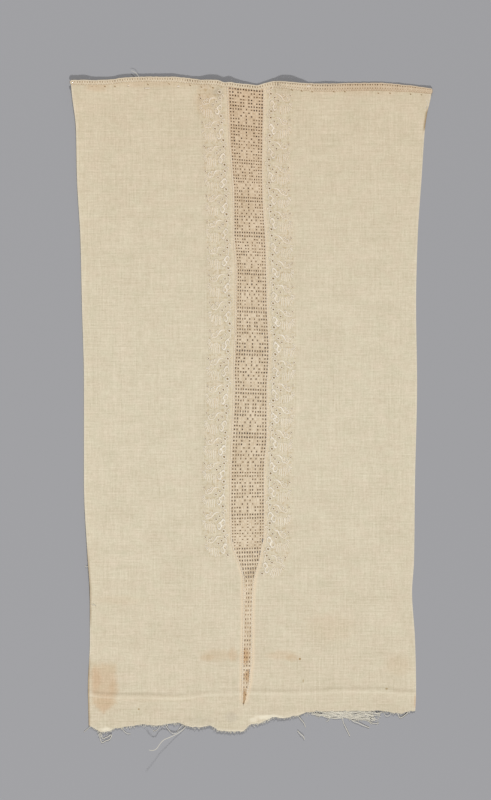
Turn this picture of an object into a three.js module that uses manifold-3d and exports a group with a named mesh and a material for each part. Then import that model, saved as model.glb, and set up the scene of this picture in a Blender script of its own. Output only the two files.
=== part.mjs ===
// Neck insert of a woman's bodice, lying flat, seen from its right side.
// A panel of fine plain-woven cloth is slit down its middle. A tapering strip of openwork
// crochet fills the slit, a band of raised whitework runs down each side of it, and a narrow
// crocheted edging finishes the neck. The lower edge is torn.
//
// Millimetres. +X is the right of the panel, +Y runs up to the neck edge, +Z is up from the
// surface that it lies on. The origin is the middle of the outline, on that surface.

import * as THREE from 'three';
import { mergeVertices } from 'three/addons/utils/BufferGeometryUtils.js';
import Module from 'manifold-3d';

const wasm = await Module();
wasm.setup();

// Driving sizes
const CLOTH_THICKNESS = 1.0;
const LACE_THICKNESS = 1.0;
const SEAM_GAP = 0.3;
const HEM_COLUMN = 1.2;
const HEM_COLUMNS = 2;
const HEM_RISE = 0.5;
const CREASE_Y = -172.5;
const CREASE_RISE = 0.9;
const CREASE_REACH = 7.5;
const CREASE_HALF_WIDTH = 2.5;
const TOP_LIFT_DEPTH = 16;
const TORN_LIFT_DEPTH = 10;
const BORDER_WIDTH = 0.9;
const BORDER_RISE = 0.45;
const BORDER_FOOT = 1.26;
const EDGING_STEP = 8;
const CLOTH_COLUMNS = 12;
const WELD = 1e-4;

// The two long sides of the panel. They flare out at the neck.
const SIDES = [
  { y: 196, left: -108.6, right: 108.6 },
  { y: 184.8, left: -107.6, right: 107.1 },
  { y: 165.6, left: -105.3, right: 104.1 },
  { y: 136.8, left: -104.7, right: 101.7 },
  { y: 98.4, left: -102.6, right: 99.6 },
  { y: 60, left: -101.7, right: 98.7 },
  { y: 12, left: -100.5, right: 99.3 },
  { y: -45.6, left: -100.5, right: 98.1 },
  { y: -93.6, left: -98.1, right: 97.5 },
  { y: -112.8, left: -96.9, right: 96.3 },
  { y: -141.6, left: -96.9, right: 98.1 },
  { y: -170.4, left: -98.1, right: 98.1 },
  { y: -190.8, left: -97.5, right: 97.5 },
];

// The neck edge: the outer line of the edging, how wide the edging is there, and how far
// the edge stands off the surface.
const NECK = [
  { x: -108.6, y: 194.1, edging: 2.6, lift: 2.3 },
  { x: -100, y: 194.1, edging: 2.6, lift: 2.4 },
  { x: -94, y: 194.1, edging: 2.6, lift: 1.5 },
  { x: -84, y: 194.6, edging: 2.6, lift: 1.1 },
  { x: -76, y: 195.7, edging: 2.7, lift: 1.5 },
  { x: -62, y: 196.2, edging: 2.7, lift: 1.2 },
  { x: -50, y: 196.2, edging: 2.8, lift: 1.4 },
  { x: -36, y: 195.2, edging: 2.9, lift: 0.9 },
  { x: -30, y: 194.3, edging: 2.6, lift: 1.5 },
  { x: -24, y: 194.2, edging: 2.8, lift: 2.7 },
  { x: -14, y: 192.8, edging: 2.7, lift: 3.1 },
  { x: -8, y: 192.2, edging: 2.7, lift: 1.6 },
  { x: -2, y: 191.7, edging: 2.6, lift: 0.6 },
  { x: 3, y: 191.4, edging: 2.7, lift: 0.1 },
  { x: 8, y: 192.9, edging: 2.8, lift: 0.1 },
  { x: 13.5, y: 193.5, edging: 3.6, lift: 1.0 },
  { x: 19, y: 193.2, edging: 3.9, lift: 3.3 },
  { x: 24.5, y: 192.7, edging: 4.1, lift: 3.4 },
  { x: 30, y: 192.5, edging: 4.3, lift: 2.0 },
  { x: 35, y: 192.4, edging: 4.4, lift: 0.2 },
  { x: 46, y: 192.1, edging: 4.4, lift: 0.8 },
  { x: 58, y: 192.5, edging: 4.4, lift: 0.1 },
  { x: 75, y: 192.7, edging: 4.4, lift: 0.1 },
  { x: 84, y: 192.2, edging: 4.4, lift: 0.1 },
  { x: 89, y: 191.7, edging: 4.3, lift: 0.4 },
  { x: 96, y: 191.0, edging: 4.2, lift: 0.2 },
  { x: 108.6, y: 189.1, edging: 3.6, lift: 1.0 },
];

// The pressed crease across the foot, which isn't quite straight.
const CREASE = [
  { x: -97.5, y: -173.4 },
  { x: -79, y: -175.2 },
  { x: -45, y: -175.6 },
  { x: -25, y: -173.5 },
  { x: 22, y: -173.1 },
  { x: 52, y: -171.5 },
  { x: 80, y: -171.8 },
  { x: 98, y: -173.4 },
];

// The torn lower edge, and how far its curled rim stands off the surface.
const TORN_EDGE = [
  { x: -97.5, y: -192.4, lift: 0.3 },
  { x: -92.0, y: -195.6, lift: 0.8 },
  { x: -87.9, y: -197.3, lift: 1.3 },
  { x: -82.5, y: -194.0, lift: 0.5 },
  { x: -68.9, y: -191.6, lift: 0.7 },
  { x: -59.7, y: -192.2, lift: 0.6 },
  { x: -51.0, y: -191.4, lift: 0.6 },
  { x: -43.5, y: -191.5, lift: 0.8 },
  { x: -37.7, y: -194.2, lift: 1.2 },
  { x: -26.7, y: -193.0, lift: 1.3 },
  { x: -21.3, y: -195.4, lift: 1.3 },
  { x: -12.5, y: -196.4, lift: 1.2 },
  { x: -5.8, y: -196.2, lift: 1.2 },
  { x: 1.7, y: -190.9, lift: 1.0 },
  { x: 7.3, y: -190.4, lift: 1.2 },
  { x: 14.8, y: -187.8, lift: 1.3 },
  { x: 21.7, y: -189.2, lift: 1.2 },
  { x: 29.6, y: -185.6, lift: 0.6 },
  { x: 43.4, y: -184.2, lift: 0.3 },
  { x: 63.2, y: -184.2, lift: 0.3 },
  { x: 78.7, y: -185.1, lift: 0.3 },
  { x: 90.7, y: -186.0, lift: 0.6 },
  { x: 98.1, y: -184.3, lift: 0.6 },
];

// The slit that the crochet strip fills, from the neck down to its pointed end.
const OPENING = [
  { y: 196, left: -14.2, right: 7.0 },
  { y: 143.4, left: -12.1, right: 6.7 },
  { y: 101.4, left: -10.8, right: 8.5 },
  { y: 80.4, left: -8.9, right: 9.2 },
  { y: 58.2, left: -9.1, right: 9.6 },
  { y: 32.4, left: -9.7, right: 10.7 },
  { y: 9, left: -10.3, right: 9.4 },
  { y: -17.4, left: -11.4, right: 9.4 },
  { y: -41.4, left: -12.4, right: 7.7 },
  { y: -66.6, left: -12.7, right: 7.8 },
  { y: -80, left: -12.2, right: 7.4 },
  { y: -86.8, left: -10.3, right: 5.6 },
  { y: -93.6, left: -7.2, right: 4.2 },
  { y: -101.7, left: -4.4, right: 1.7 },
  { y: -109.2, left: -3.6, right: 0.4 },
  { y: -121.8, left: -3.6, right: -0.2 },
  { y: -136, left: -4.1, right: -0.2 },
  { y: -148.8, left: -4.6, right: -0.7 },
  { y: -166.8, left: -4.8, right: -1.3 },
  { y: -173.4, left: -4.8, right: -2.2 },
  { y: -180, left: -4.9, right: -4.9 },
];
const OPENING_END_Y = -180;
const LACE_END_Y = -177.5;
const STRIP_SHARES = [0, 0.33, 0.62, 0.81, 1];

// Rows across the panel: close together where it lifts, tapers or is creased.
const CLOTH_ROWS = [
  { from: 191, to: 175, steps: 3 },
  { from: 175, to: -82, steps: 12 },
  { from: -82, to: -112, steps: 5 },
  { from: -112, to: -165, steps: 4 },
  { from: -165, to: -180, steps: 6 },
  { from: -180, to: -190, steps: 3 },
];

// The crochet pattern in cells: bars of open mesh with an eight-pointed star between them.
const LACE = { columns: 13, margin: 1.0, top: 187.5, bottom: -89, stars: 12, barShare: 0.22 };
const BAR_SLOTS = [
  { column: 2.2, width: 3.4 },
  { column: 6.5, width: 3.8 },
  { column: 10.8, width: 3.4 },
];
const STAR_GAPS = [
  { column: 1.3, along: 0.28, width: 1.9, height: 0.3 },
  { column: 11.7, along: 0.28, width: 1.9, height: 0.3 },
  { column: 1.3, along: 0.72, width: 1.9, height: 0.3 },
  { column: 11.7, along: 0.72, width: 1.9, height: 0.3 },
  { column: 6.5, along: 0.24, width: 2.6, height: 0.34 },
  { column: 6.5, along: 0.76, width: 2.6, height: 0.34 },
];
const BAR_SLOT_HEIGHT = 2.6;
const CUT_DEPTH = 12;
const CUT_BELOW = 2;
const TAIL = { top: -98, bottom: -148, gaps: 8, width: 1.0, height: 3.2 };

// Whitework bands. Each row gives the line of inner eyelets beside the slit at one height.
const BANDS = [
  { side: -1, units: 18, top: 184, bottom: -90, line: [
    { y: 190, x: -19.0 }, { y: 143.4, x: -16.3 }, { y: 98.4, x: -14.7 }, { y: 50, x: -13.3 },
    { y: 0, x: -15.0 }, { y: -48, x: -16.8 }, { y: -76, x: -16.7 }, { y: -100, x: -14.0 } ] },
  { side: 1, units: 20, top: 186, bottom: -100, line: [
    { y: 190, x: 11.6 }, { y: 143.4, x: 10.4 }, { y: 98.4, x: 12.0 }, { y: 30, x: 14.2 },
    { y: -12, x: 12.4 }, { y: -60, x: 10.9 }, { y: -86.8, x: 10.0 }, { y: -104, x: 6.0 } ] },
];

// The padded shapes of one repeat: distance out from the eyelet line, place down the repeat
// as a share of it, size, and the turn from level, rising towards the slit.
const PADS = [
  { out: 1.3, down: 0.62, length: 4.6, width: 2.4, turn: 48 },
  { out: 8.0, down: 0.12, length: 5.4, width: 2.6, turn: 12 },
  { out: 10.2, down: 0.62, length: 6.4, width: 4.6, turn: -60 },
];
const PAD_RISE = 0.5;
const PAD_TOP_SHARE = 0.6;
const PAD_SIDES = 6;

const CLOTH_FINISH = new THREE.MeshStandardMaterial({ color: '#d6c9ad', roughness: 0.95, metalness: 0 });
const LACE_FINISH = new THREE.MeshStandardMaterial({ color: '#cdb48f', roughness: 0.9, metalness: 0 });
const EDGING_FINISH = new THREE.MeshStandardMaterial({ color: '#dcc9a4', roughness: 0.9, metalness: 0 });

// A table's column at a place between its rows, with straight lines from row to row.
function between(table, key, at, column) {
  const ordered = [...table].sort((a, b) => a[key] - b[key]);
  if (at <= ordered[0][key]) {
    return ordered[0][column];
  }
  for (let i = 1; i < ordered.length; i += 1) {
    const low = ordered[i - 1];
    const high = ordered[i];
    if (at <= high[key]) {
      const share = (at - low[key]) / (high[key] - low[key]);
      return low[column] + (high[column] - low[column]) * share;
    }
  }
  return ordered[ordered.length - 1][column];
}

const clothTop = (x) => between(NECK, 'x', x, 'y') - between(NECK, 'x', x, 'edging') - SEAM_GAP;
const tornBottom = (x) => between(TORN_EDGE, 'x', x, 'y');
const creaseLine = (x) => between(CREASE, 'x', x, 'y');

// How far the underside stands off the surface: the wavy neck edge, the pressed crease
// across the foot of the panel, and the curled torn rim.
function lift(x, y) {
  const fromTop = THREE.MathUtils.clamp((clothTop(x) - y) / TOP_LIFT_DEPTH, 0, 1);
  const neck = between(NECK, 'x', x, 'lift') * (1 - fromTop) ** 2;
  const fromCrease = Math.abs(y - creaseLine(x)) / CREASE_HALF_WIDTH;
  const crease = CREASE_RISE * Math.max(0, 1 - fromCrease);
  const fromTear = THREE.MathUtils.clamp((y - tornBottom(x)) / TORN_LIFT_DEPTH, 0, 1);
  const rim = between(TORN_EDGE, 'x', x, 'lift') * (1 - fromTear) ** 2;
  return neck + Math.max(crease, rim);
}

// Triangles gathered corner by corner, then welded into one closed mesh.
class Shell {
  constructor() {
    this.points = [];
  }

  triangle(a, b, c) {
    this.points.push(...a, ...b, ...c);
  }

  quad(a, b, c, d) {
    this.triangle(a, b, c);
    this.triangle(a, c, d);
  }

  geometry() {
    const loose = new THREE.BufferGeometry();
    loose.setAttribute('position', new THREE.Float32BufferAttribute(this.points, 3));
    return mergeVertices(loose, WELD);
  }
}

// The upper and lower faces between two rows of a sheet, each point with its low and high side.
function addCells(shell, upper, lower) {
  for (let c = 0; c + 1 < upper.length; c += 1) {
    shell.quad(lower[c].high, lower[c + 1].high, upper[c + 1].high, upper[c].high);
    shell.quad(lower[c].low, upper[c].low, upper[c + 1].low, lower[c + 1].low);
  }
}

// A sheet's edge face, with the sheet on the right of the way from one point to the next.
function addEdge(shell, from, to) {
  shell.quad(from.low, from.high, to.high, to.low);
}

function toManifold(geometry) {
  const bare = geometry.clone();
  bare.deleteAttribute('normal');
  bare.deleteAttribute('uv');
  const welded = mergeVertices(bare, WELD);
  return new wasm.Manifold(new wasm.Mesh({
    numProp: 3,
    vertProperties: new Float32Array(welded.attributes.position.array),
    triVerts: new Uint32Array(welded.index.array),
  }));
}

function toGeometry(manifold) {
  const mesh = manifold.getMesh();
  const geometry = new THREE.BufferGeometry();
  geometry.setAttribute('position', new THREE.BufferAttribute(mesh.vertProperties, 3));
  geometry.setIndex(new THREE.BufferAttribute(mesh.triVerts, 1));
  return geometry;
}

function clothRowHeights() {
  const heights = [CLOTH_ROWS[0].from];
  for (const { from, to, steps } of CLOTH_ROWS) {
    for (let i = 1; i <= steps; i += 1) {
      heights.push(from + ((to - from) * i) / steps);
    }
  }
  return heights;
}

// Columns of one half, from the slit out to the side edge. The first ones carry the rolled hem.
function halfColumns(slitX, sideX) {
  const outward = Math.sign(sideX - slitX);
  const columns = [];
  for (let i = 0; i <= HEM_COLUMNS; i += 1) {
    columns.push(slitX + outward * HEM_COLUMN * i);
  }
  const hemEnd = columns[HEM_COLUMNS];
  const plain = CLOTH_COLUMNS - HEM_COLUMNS;
  for (let i = 1; i <= plain; i += 1) {
    columns.push(hemEnd + ((sideX - hemEnd) * i) / plain);
  }
  return columns;
}

// A point's real height on the panel: the end rows follow the neck and the torn edge, and the
// rows beside the crease follow the crease.
function fittedY(x, rowY) {
  const first = CLOTH_ROWS[0];
  const last = CLOTH_ROWS[CLOTH_ROWS.length - 1];
  const nearNeck = THREE.MathUtils.clamp((rowY - first.to) / (first.from - first.to), 0, 1);
  const nearTear = THREE.MathUtils.clamp((last.from - rowY) / (last.from - last.to), 0, 1);
  const nearCrease = THREE.MathUtils.clamp(1 - Math.abs(rowY - CREASE_Y) / CREASE_REACH, 0, 1);
  return rowY + (clothTop(x) - first.from) * nearNeck + (tornBottom(x) - last.to) * nearTear
    + (creaseLine(x) - CREASE_Y) * nearCrease;
}

function groundCloth() {
  const heights = clothRowHeights();
  const shell = new Shell();
  const rows = heights.map((rowY) => {
    const slit = { left: between(OPENING, 'y', rowY, 'left'), right: between(OPENING, 'y', rowY, 'right') };
    const side = { left: between(SIDES, 'y', rowY, 'left'), right: between(SIDES, 'y', rowY, 'right') };
    const open = rowY > OPENING_END_Y;
    const halves = [halfColumns(slit.left, side.left).reverse(), halfColumns(slit.right, side.right)];
    return halves.map((columns, half) => columns.map((x, i) => {
      const fromSlit = half === 0 ? columns.length - 1 - i : i;
      const hem = open && fromSlit < HEM_COLUMNS ? HEM_RISE : 0;
      const y = fittedY(x, rowY);
      const base = lift(x, y);
      return { low: [x, y, base], high: [x, y, base + CLOTH_THICKNESS + hem] };
    }));
  });
  for (let r = 0; r + 1 < rows.length; r += 1) {
    for (let half = 0; half < 2; half += 1) {
      const upper = rows[r][half];
      const lower = rows[r + 1][half];
      const end = upper.length - 1;
      const slitOpen = heights[r] > OPENING_END_Y;
      addCells(shell, upper, lower);
      if (half === 0 || slitOpen) {
        addEdge(shell, lower[0], upper[0]);
      }
      if (half === 1 || slitOpen) {
        addEdge(shell, upper[end], lower[end]);
      }
    }
  }
  for (let half = 0; half < 2; half += 1) {
    const first = rows[0][half];
    const last = rows[rows.length - 1][half];
    for (let c = 0; c + 1 < first.length; c += 1) {
      addEdge(shell, first[c], first[c + 1]);
      addEdge(shell, last[c + 1], last[c]);
    }
  }
  return shell.geometry();
}

// One padded shape: a low six-sided mound that starts inside the cloth and follows its lift.
function pad(x, y, { length, width, turn }, mirror) {
  const depth = CLOTH_THICKNESS / 2 + PAD_RISE;
  const mound = new THREE.CylinderGeometry(PAD_TOP_SHARE, 1, depth, PAD_SIDES);
  mound.rotateX(Math.PI / 2);
  mound.scale(length / 2, width / 2, 1);
  mound.rotateZ(THREE.MathUtils.degToRad(turn) * mirror);
  mound.translate(x, y, CLOTH_THICKNESS / 2 + depth / 2);
  const position = mound.attributes.position;
  for (let i = 0; i < position.count; i += 1) {
    position.setZ(i, position.getZ(i) + lift(position.getX(i), position.getY(i)));
  }
  return toManifold(mound);
}

function whiteworkPads() {
  const pads = [];
  for (const { side, units, top, bottom, line } of BANDS) {
    const repeat = (top - bottom) / units;
    for (let unit = 0; unit < units; unit += 1) {
      for (const shape of PADS) {
        const y = top - repeat * (unit + shape.down);
        const x = between(line, 'y', y, 'x') + side * shape.out;
        pads.push(pad(x, y, shape, -side));
      }
    }
  }
  return pads;
}

// The strip before it is pierced, a few cells wide, with the gap to the slit all round.
function plainStrip() {
  const heights = clothRowHeights().filter((y) => y > LACE_END_Y);
  const rows = [...heights, LACE_END_Y].map((rowY) => {
    const left = between(OPENING, 'y', rowY, 'left') + SEAM_GAP;
    const right = between(OPENING, 'y', rowY, 'right') - SEAM_GAP;
    return STRIP_SHARES.map((share) => {
      const x = left + (right - left) * share;
      const y = fittedY(x, rowY);
      const base = lift(x, y);
      return { low: [x, y, base], high: [x, y, base + LACE_THICKNESS] };
    });
  });
  const shell = new Shell();
  const end = STRIP_SHARES.length - 1;
  for (let r = 0; r + 1 < rows.length; r += 1) {
    addCells(shell, rows[r], rows[r + 1]);
    addEdge(shell, rows[r + 1][0], rows[r][0]);
    addEdge(shell, rows[r][end], rows[r + 1][end]);
  }
  for (let c = 0; c < end; c += 1) {
    addEdge(shell, rows[0][c], rows[0][c + 1]);
    addEdge(shell, rows[rows.length - 1][c + 1], rows[rows.length - 1][c]);
  }
  return shell.geometry();
}

// The x of a pattern column, counted from the left of the open field.
function columnX(column, y) {
  const left = between(OPENING, 'y', y, 'left') + SEAM_GAP + LACE.margin;
  const right = between(OPENING, 'y', y, 'right') - SEAM_GAP - LACE.margin;
  return left + ((right - left) * column) / LACE.columns;
}

// The cutter for one gap. A bar's slot is a rectangle, a star's gap is a diamond.
function gapCutter(x, y, width, height, isDiamond) {
  const w = width / 2;
  const h = height / 2;
  const corners = isDiamond
    ? [[-w, 0], [0, -h], [w, 0], [0, h]]
    : [[-w, -h], [w, -h], [w, h], [-w, h]];
  const outline = new THREE.Shape(corners.map(([dx, dy]) => new THREE.Vector2(x + dx, y + dy)));
  const cutter = new THREE.ExtrudeGeometry(outline, { depth: CUT_DEPTH, bevelEnabled: false });
  cutter.translate(0, 0, -CUT_BELOW);
  return toManifold(cutter);
}

function crochetGaps() {
  const gaps = [];
  const group = (LACE.top - LACE.bottom) / LACE.stars;
  for (let star = 0; star < LACE.stars; star += 1) {
    const start = LACE.top - group * star;
    const barY = start - (group * LACE.barShare) / 2;
    const cell = (columnX(LACE.columns, barY) - columnX(0, barY)) / LACE.columns;
    for (const { column, width } of BAR_SLOTS) {
      gaps.push(gapCutter(columnX(column, barY), barY, width * cell, BAR_SLOT_HEIGHT, false));
    }
    const starTop = start - group * LACE.barShare;
    const starHeight = group * (1 - LACE.barShare);
    for (const { column, along, width, height } of STAR_GAPS) {
      const y = starTop - starHeight * along;
      gaps.push(gapCutter(columnX(column, y), y, width * cell, height * starHeight, true));
    }
  }
  for (let i = 0; i < TAIL.gaps; i += 1) {
    const y = TAIL.top + ((TAIL.bottom - TAIL.top) * (i + 0.5)) / TAIL.gaps;
    gaps.push(gapCutter(columnX(LACE.columns / 2, y), y, TAIL.width, TAIL.height, true));
  }
  return gaps;
}

function crochetInsertion() {
  const pierced = crochetGaps().reduce((strip, cutter) => strip.subtract(cutter), toManifold(plainStrip()));
  return toGeometry(pierced);
}

// The edging is a flat tape with a thicker outer border, lifted along the neck.
function neckEdging() {
  const stations = [];
  for (let i = 0; i + 1 < NECK.length; i += 1) {
    const steps = Math.max(1, Math.round((NECK[i + 1].x - NECK[i].x) / EDGING_STEP));
    for (let s = 0; s < steps; s += 1) {
      stations.push(NECK[i].x + ((NECK[i + 1].x - NECK[i].x) * s) / steps);
    }
  }
  stations.push(NECK[NECK.length - 1].x);
  const sections = stations.map((x) => {
    const outer = between(NECK, 'x', x, 'y');
    const inner = outer - between(NECK, 'x', x, 'edging');
    const base = between(NECK, 'x', x, 'lift');
    const flat = base + CLOTH_THICKNESS;
    const border = flat + BORDER_RISE;
    return [
      [x, inner, base], [x, outer, base], [x, outer, border],
      [x, outer - BORDER_WIDTH, border], [x, outer - BORDER_FOOT, flat], [x, inner, flat],
    ];
  });
  const shell = new Shell();
  for (let s = 0; s + 1 < sections.length; s += 1) {
    const near = sections[s];
    const far = sections[s + 1];
    near.forEach((corner, i) => {
      const next = (i + 1) % near.length;
      shell.quad(corner, near[next], far[next], far[i]);
    });
  }
  const [first] = sections;
  const last = sections[sections.length - 1];
  for (let i = 1; i + 1 < first.length; i += 1) {
    shell.triangle(first[0], first[i + 1], first[i]);
    shell.triangle(last[0], last[i], last[i + 1]);
  }
  return shell.geometry();
}

function piece(name, geometry, material) {
  const mesh = new THREE.Mesh(geometry, material);
  mesh.name = name;
  return mesh;
}

const plainCloth = toManifold(groundCloth());
const embroideredCloth = whiteworkPads().reduce((cloth, mound) => cloth.add(mound), plainCloth);

const group = new THREE.Group();
group.add(piece('ground_cloth', toGeometry(embroideredCloth), CLOTH_FINISH));
group.add(piece('crochet_insertion', crochetInsertion(), LACE_FINISH));
group.add(piece('neck_edging', neckEdging(), EDGING_FINISH));

export default group;
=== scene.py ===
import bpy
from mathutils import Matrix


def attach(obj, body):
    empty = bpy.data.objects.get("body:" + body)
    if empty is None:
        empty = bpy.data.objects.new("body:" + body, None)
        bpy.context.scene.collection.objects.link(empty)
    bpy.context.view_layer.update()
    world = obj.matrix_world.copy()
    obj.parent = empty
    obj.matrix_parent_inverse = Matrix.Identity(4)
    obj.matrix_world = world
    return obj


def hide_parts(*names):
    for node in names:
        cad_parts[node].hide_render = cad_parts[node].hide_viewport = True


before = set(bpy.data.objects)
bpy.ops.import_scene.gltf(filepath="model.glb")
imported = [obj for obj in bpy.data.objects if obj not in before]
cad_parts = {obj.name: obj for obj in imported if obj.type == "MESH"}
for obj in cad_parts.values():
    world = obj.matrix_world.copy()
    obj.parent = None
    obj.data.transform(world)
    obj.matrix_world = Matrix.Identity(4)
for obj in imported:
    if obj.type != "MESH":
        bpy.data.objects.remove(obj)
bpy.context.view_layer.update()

import math
import random

import bmesh
import bpy
import numpy as np
from mathutils import Matrix, Vector


# Ground cloth. One panel of fine plain-woven cotton, slit from the neck down its middle and
# pierced where the eyelets are worked. It has been pressed along a crease across the foot, and
# below the crease it is torn off. Its neck edge and its torn rim curl up off the table.
MM = 0.001
CLOTH_THICKNESS = 0.3
CLOTH_COLUMNS = 66
# The rows of the panel's mesh, in stretches from one height down to another, each with its count.
CLOTH_ROWS = [(191, 165, 26), (165, -160, 210), (-160, -188, 36)]
# From the second of these heights to the first, the rows turn to follow the neck and the tear.
NECK_FIT = (191, 175)
TEAR_FIT = (-188, -178)
OPENING_END = -180
HALVES = (("left", -1), ("right", 1))

# Places and sizes on the panel are in millimetres, with y up to the neck.
SIDES = {
    "y": [196, 184.8, 165.6, 136.8, 98.4, 60, 12, -45.6, -93.6, -112.8, -141.6, -170.4, -190.8],
    "left": [-108.6, -107.6, -105.3, -104.7, -102.6, -101.7, -100.5, -100.5, -98.1, -96.9, -96.9,
             -98.1, -97.5],
    "right": [108.6, 107.1, 104.1, 102.1, 99.6, 98.7, 99.3, 98.1, 97.5, 96.3, 98.1, 98.7, 98.1],
}
# How far the left selvedge curls up off the table.
CURL = {"y": [190, 150, 0, -50, -85, -112, -119, -150, -185],
        "lift": [1.3, 0.9, 0.4, 0.6, 1.5, 1.6, 0.5, 0.3, 0.2]}
CURL_WIDTH = 5
# How far each side edge is painted brown, from 0 to 1: soil on the left near the foot, painted shade where
# the left edge curls up, and a painted shadow line on the right below the neck.
SIDE_SOIL_AND_SHADE = {"y": [-185, -158, -150, -135, -128, -95, -85, 163, 166, 175, 179],
             "left": [0.8, 0.8, 0, 0, 0.7, 0.6, 0, 0, 0, 0, 0],
             "right": [0, 0, 0, 0, 0, 0, 0, 0, 1, 1, 0]}
NECK = {
    "x": [-108.6, -100, -94, -84, -76, -62, -50, -36, -30, -24, -20.5, -16, -13.5, -8, -2, 3, 8,
          13.5, 19, 24.5, 30, 35, 46, 58, 75, 84, 89, 96, 108.6],
    "y": [194.1, 194.1, 194.1, 194.6, 195.7, 196.2, 196.2, 195.2, 194.3, 194.3, 194.1, 192.7, 192.8,
          192.2, 191.7, 191.2, 192.5, 193.5, 193.2, 192.7, 192.5, 192.4, 192.1, 192.5, 192.7, 192.2,
          191.7, 191, 189.1],
    "edging": [2.6, 2.6, 2.6, 2.6, 2.7, 2.7, 2.8, 2.9, 2.6, 2.8, 2.8, 2.7, 2.7, 2.7, 2.6, 2.7, 2.8,
               3.6, 3.9, 4.1, 4.3, 4.4, 4.4, 4.4, 4.4, 4.2, 4.0, 3.6, 2.9],
    "lift": [2.3, 2.4, 1.5, 1.1, 1.5, 1.2, 1.4, 0.9, 1.4, 2.3, 2.3, 2.5, 2.9, 1.7, 0.6, 0.2, 0.3, 1.0,
             3.0, 3.4, 2.0, 0.2, 0.8, 0.1, 0.1, 0.1, 0.4, 0.2, 1.0],
}
TORN_EDGE = {
    "x": [-97.5, -92, -89.6, -84, -82.5, -77.7, -73, -68, -63, -58.5, -53.7, -49, -44, -39, -34.5,
          -29.7, -24.9, -20, -15, -10.5, -5.7, -3.9, -0.9, 3.9, 8.7, 13.5, 18.3, 23.1, 27.9, 32.7,
          37.5, 43.4, 63.2, 71, 80.7, 85.5, 90.7, 95.2, 98.1],
    "y": [-192.4, -195.6, -196.8, -195.5, -194.3, -194, -193.3, -192.4, -192.2, -192.7, -192.4,
          -191.6, -191.2, -192.8, -193.5, -193.5, -192.6, -195.4, -196, -196.3, -196.1, -195.3,
          -192.4, -191.5, -189.8, -187.7, -188.1, -187.5, -186.4, -185, -184.2, -184, -184, -183.9,
          -184.1, -185.1, -185.3, -184.2, -184.3],
    "lift": [0.3, 0.8, 1.3, 1.0, 0.5, 0.5, 0.6, 0.7, 0.6, 0.6, 0.6, 0.6, 0.8, 1.1, 1.3, 1.3, 1.3, 1.3,
             1.3, 1.3, 1.2, 1.1, 1.0, 1.1, 1.2, 1.3, 1.3, 1.1, 0.8, 0.6, 0.7, 0.8, 0.8, 0.7, 0.6, 0.9,
             1.0, 0.9, 0.5],
}
# How strongly the torn rim is painted with a highlight where it curls up to the light, from 0 to 1.
RIM_HIGHLIGHT = {
    "x": [-97, -91, -90, -84.5, -83.5, -40, -38, -27, -24, -20, -8, -3, 2, 22, 27, 34, 98],
    "highlights": [0.1, 0.2, 0.4, 0.4, 0.15, 0.1, 0.7, 0.7, 0.3, 0.9, 1, 0.6, 1, 0.9, 0.7, 0.1, 0.1],
}
OPENING = {
    "y": [196, 174, 166, 153.6, 146.4, 139.2, 124.8, 112, 101.4, 80.4, 58.2, 44.4, 32.4, 21, 9,
          -17.4, -41.4, -66.6, -80, -86.8, -93.6, -101.7, -106, -113, -122, -131, -140, -149, -156,
          -160, -167, -174, -180],
    "left": [-14.2, -13.4, -13.1, -12.5, -11.7, -11.2, -10.4, -10.2, -10.2, -8.9, -9.1, -9.4, -9.7,
             -10.0, -10.1, -11.2, -12.1, -12.2, -11.7, -10.3, -7.6, -4.9, -4.2, -4.2, -4.2, -4.3,
             -4.4, -4.7, -4.8, -4.9, -5, -4.9, -4.9],
    "right": [7.0, 6.9, 6.5, 6.4, 6.3, 6.3, 6.5, 7.2, 7.9, 8.6, 9.0, 9.6, 10.1, 9.6, 8.9, 8.9, 7.2,
              7.3, 7.1, 5.6, 4.4, 1.9, 0.9, 0.3, -0.1, -0.2, -0.2, -0.3, -0.5, -1.2, -1.7, -3.4,
              -4.9],
}
# How wide the turned hem shows beside the slit, how softly it ends, and where it shows in part.
HEM_WIDTH = {"left": 3.0, "right": 2.3}
HEM_FADE = 1
HEM_SLACK = 0.1
HEM_FOOT = (OPENING_END - 2, OPENING_END + 4)
HALF_HIDDEN = (-105, -90)
CREASE = {
    "x": [-97.5, -92, -78.9, -66.3, -45, -36, -26, -16.5, 2.1, 22, 33, 42.3, 52, 68.7, 80, 89, 98],
    "y": [-173.4, -174.4, -175.2, -175.2, -175.6, -175, -173.6, -173.2, -172.9, -173.2, -172.9,
          -172.3, -171.5, -171.6, -171.8, -173, -173.4],
    "depth": [0.9, 1.2, 1.3, 1.3, 0.9, 0.7, 0.6, 0.8, 0.7, 0.8, 0.7, 0.7, 0.7, 0.9, 1.1, 1.0, 0.8],
}
CREASE_RISE = 0.36
CREASE_HALF_WIDTH = 1.6
NECK_LIFT_DEPTH = 16
RIM_DEPTH = 12
# How far the cloth stands off the table all over, and how much its ripples add and take.
REST_HEIGHT = 0.12
RIPPLE = 0.04
# The whitework and the insertion stiffen the cloth, and lift it where they lie.
BAND_RISE = 0.3
BAND_REACH = (-5, 15)
BAND_FADE = 4.5
BAND_FOOT = (-3, 1)
STRIP_SIDES = ((-18, -12), (10, 16))
STRIP_FOOT = (-112, -96)

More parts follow.
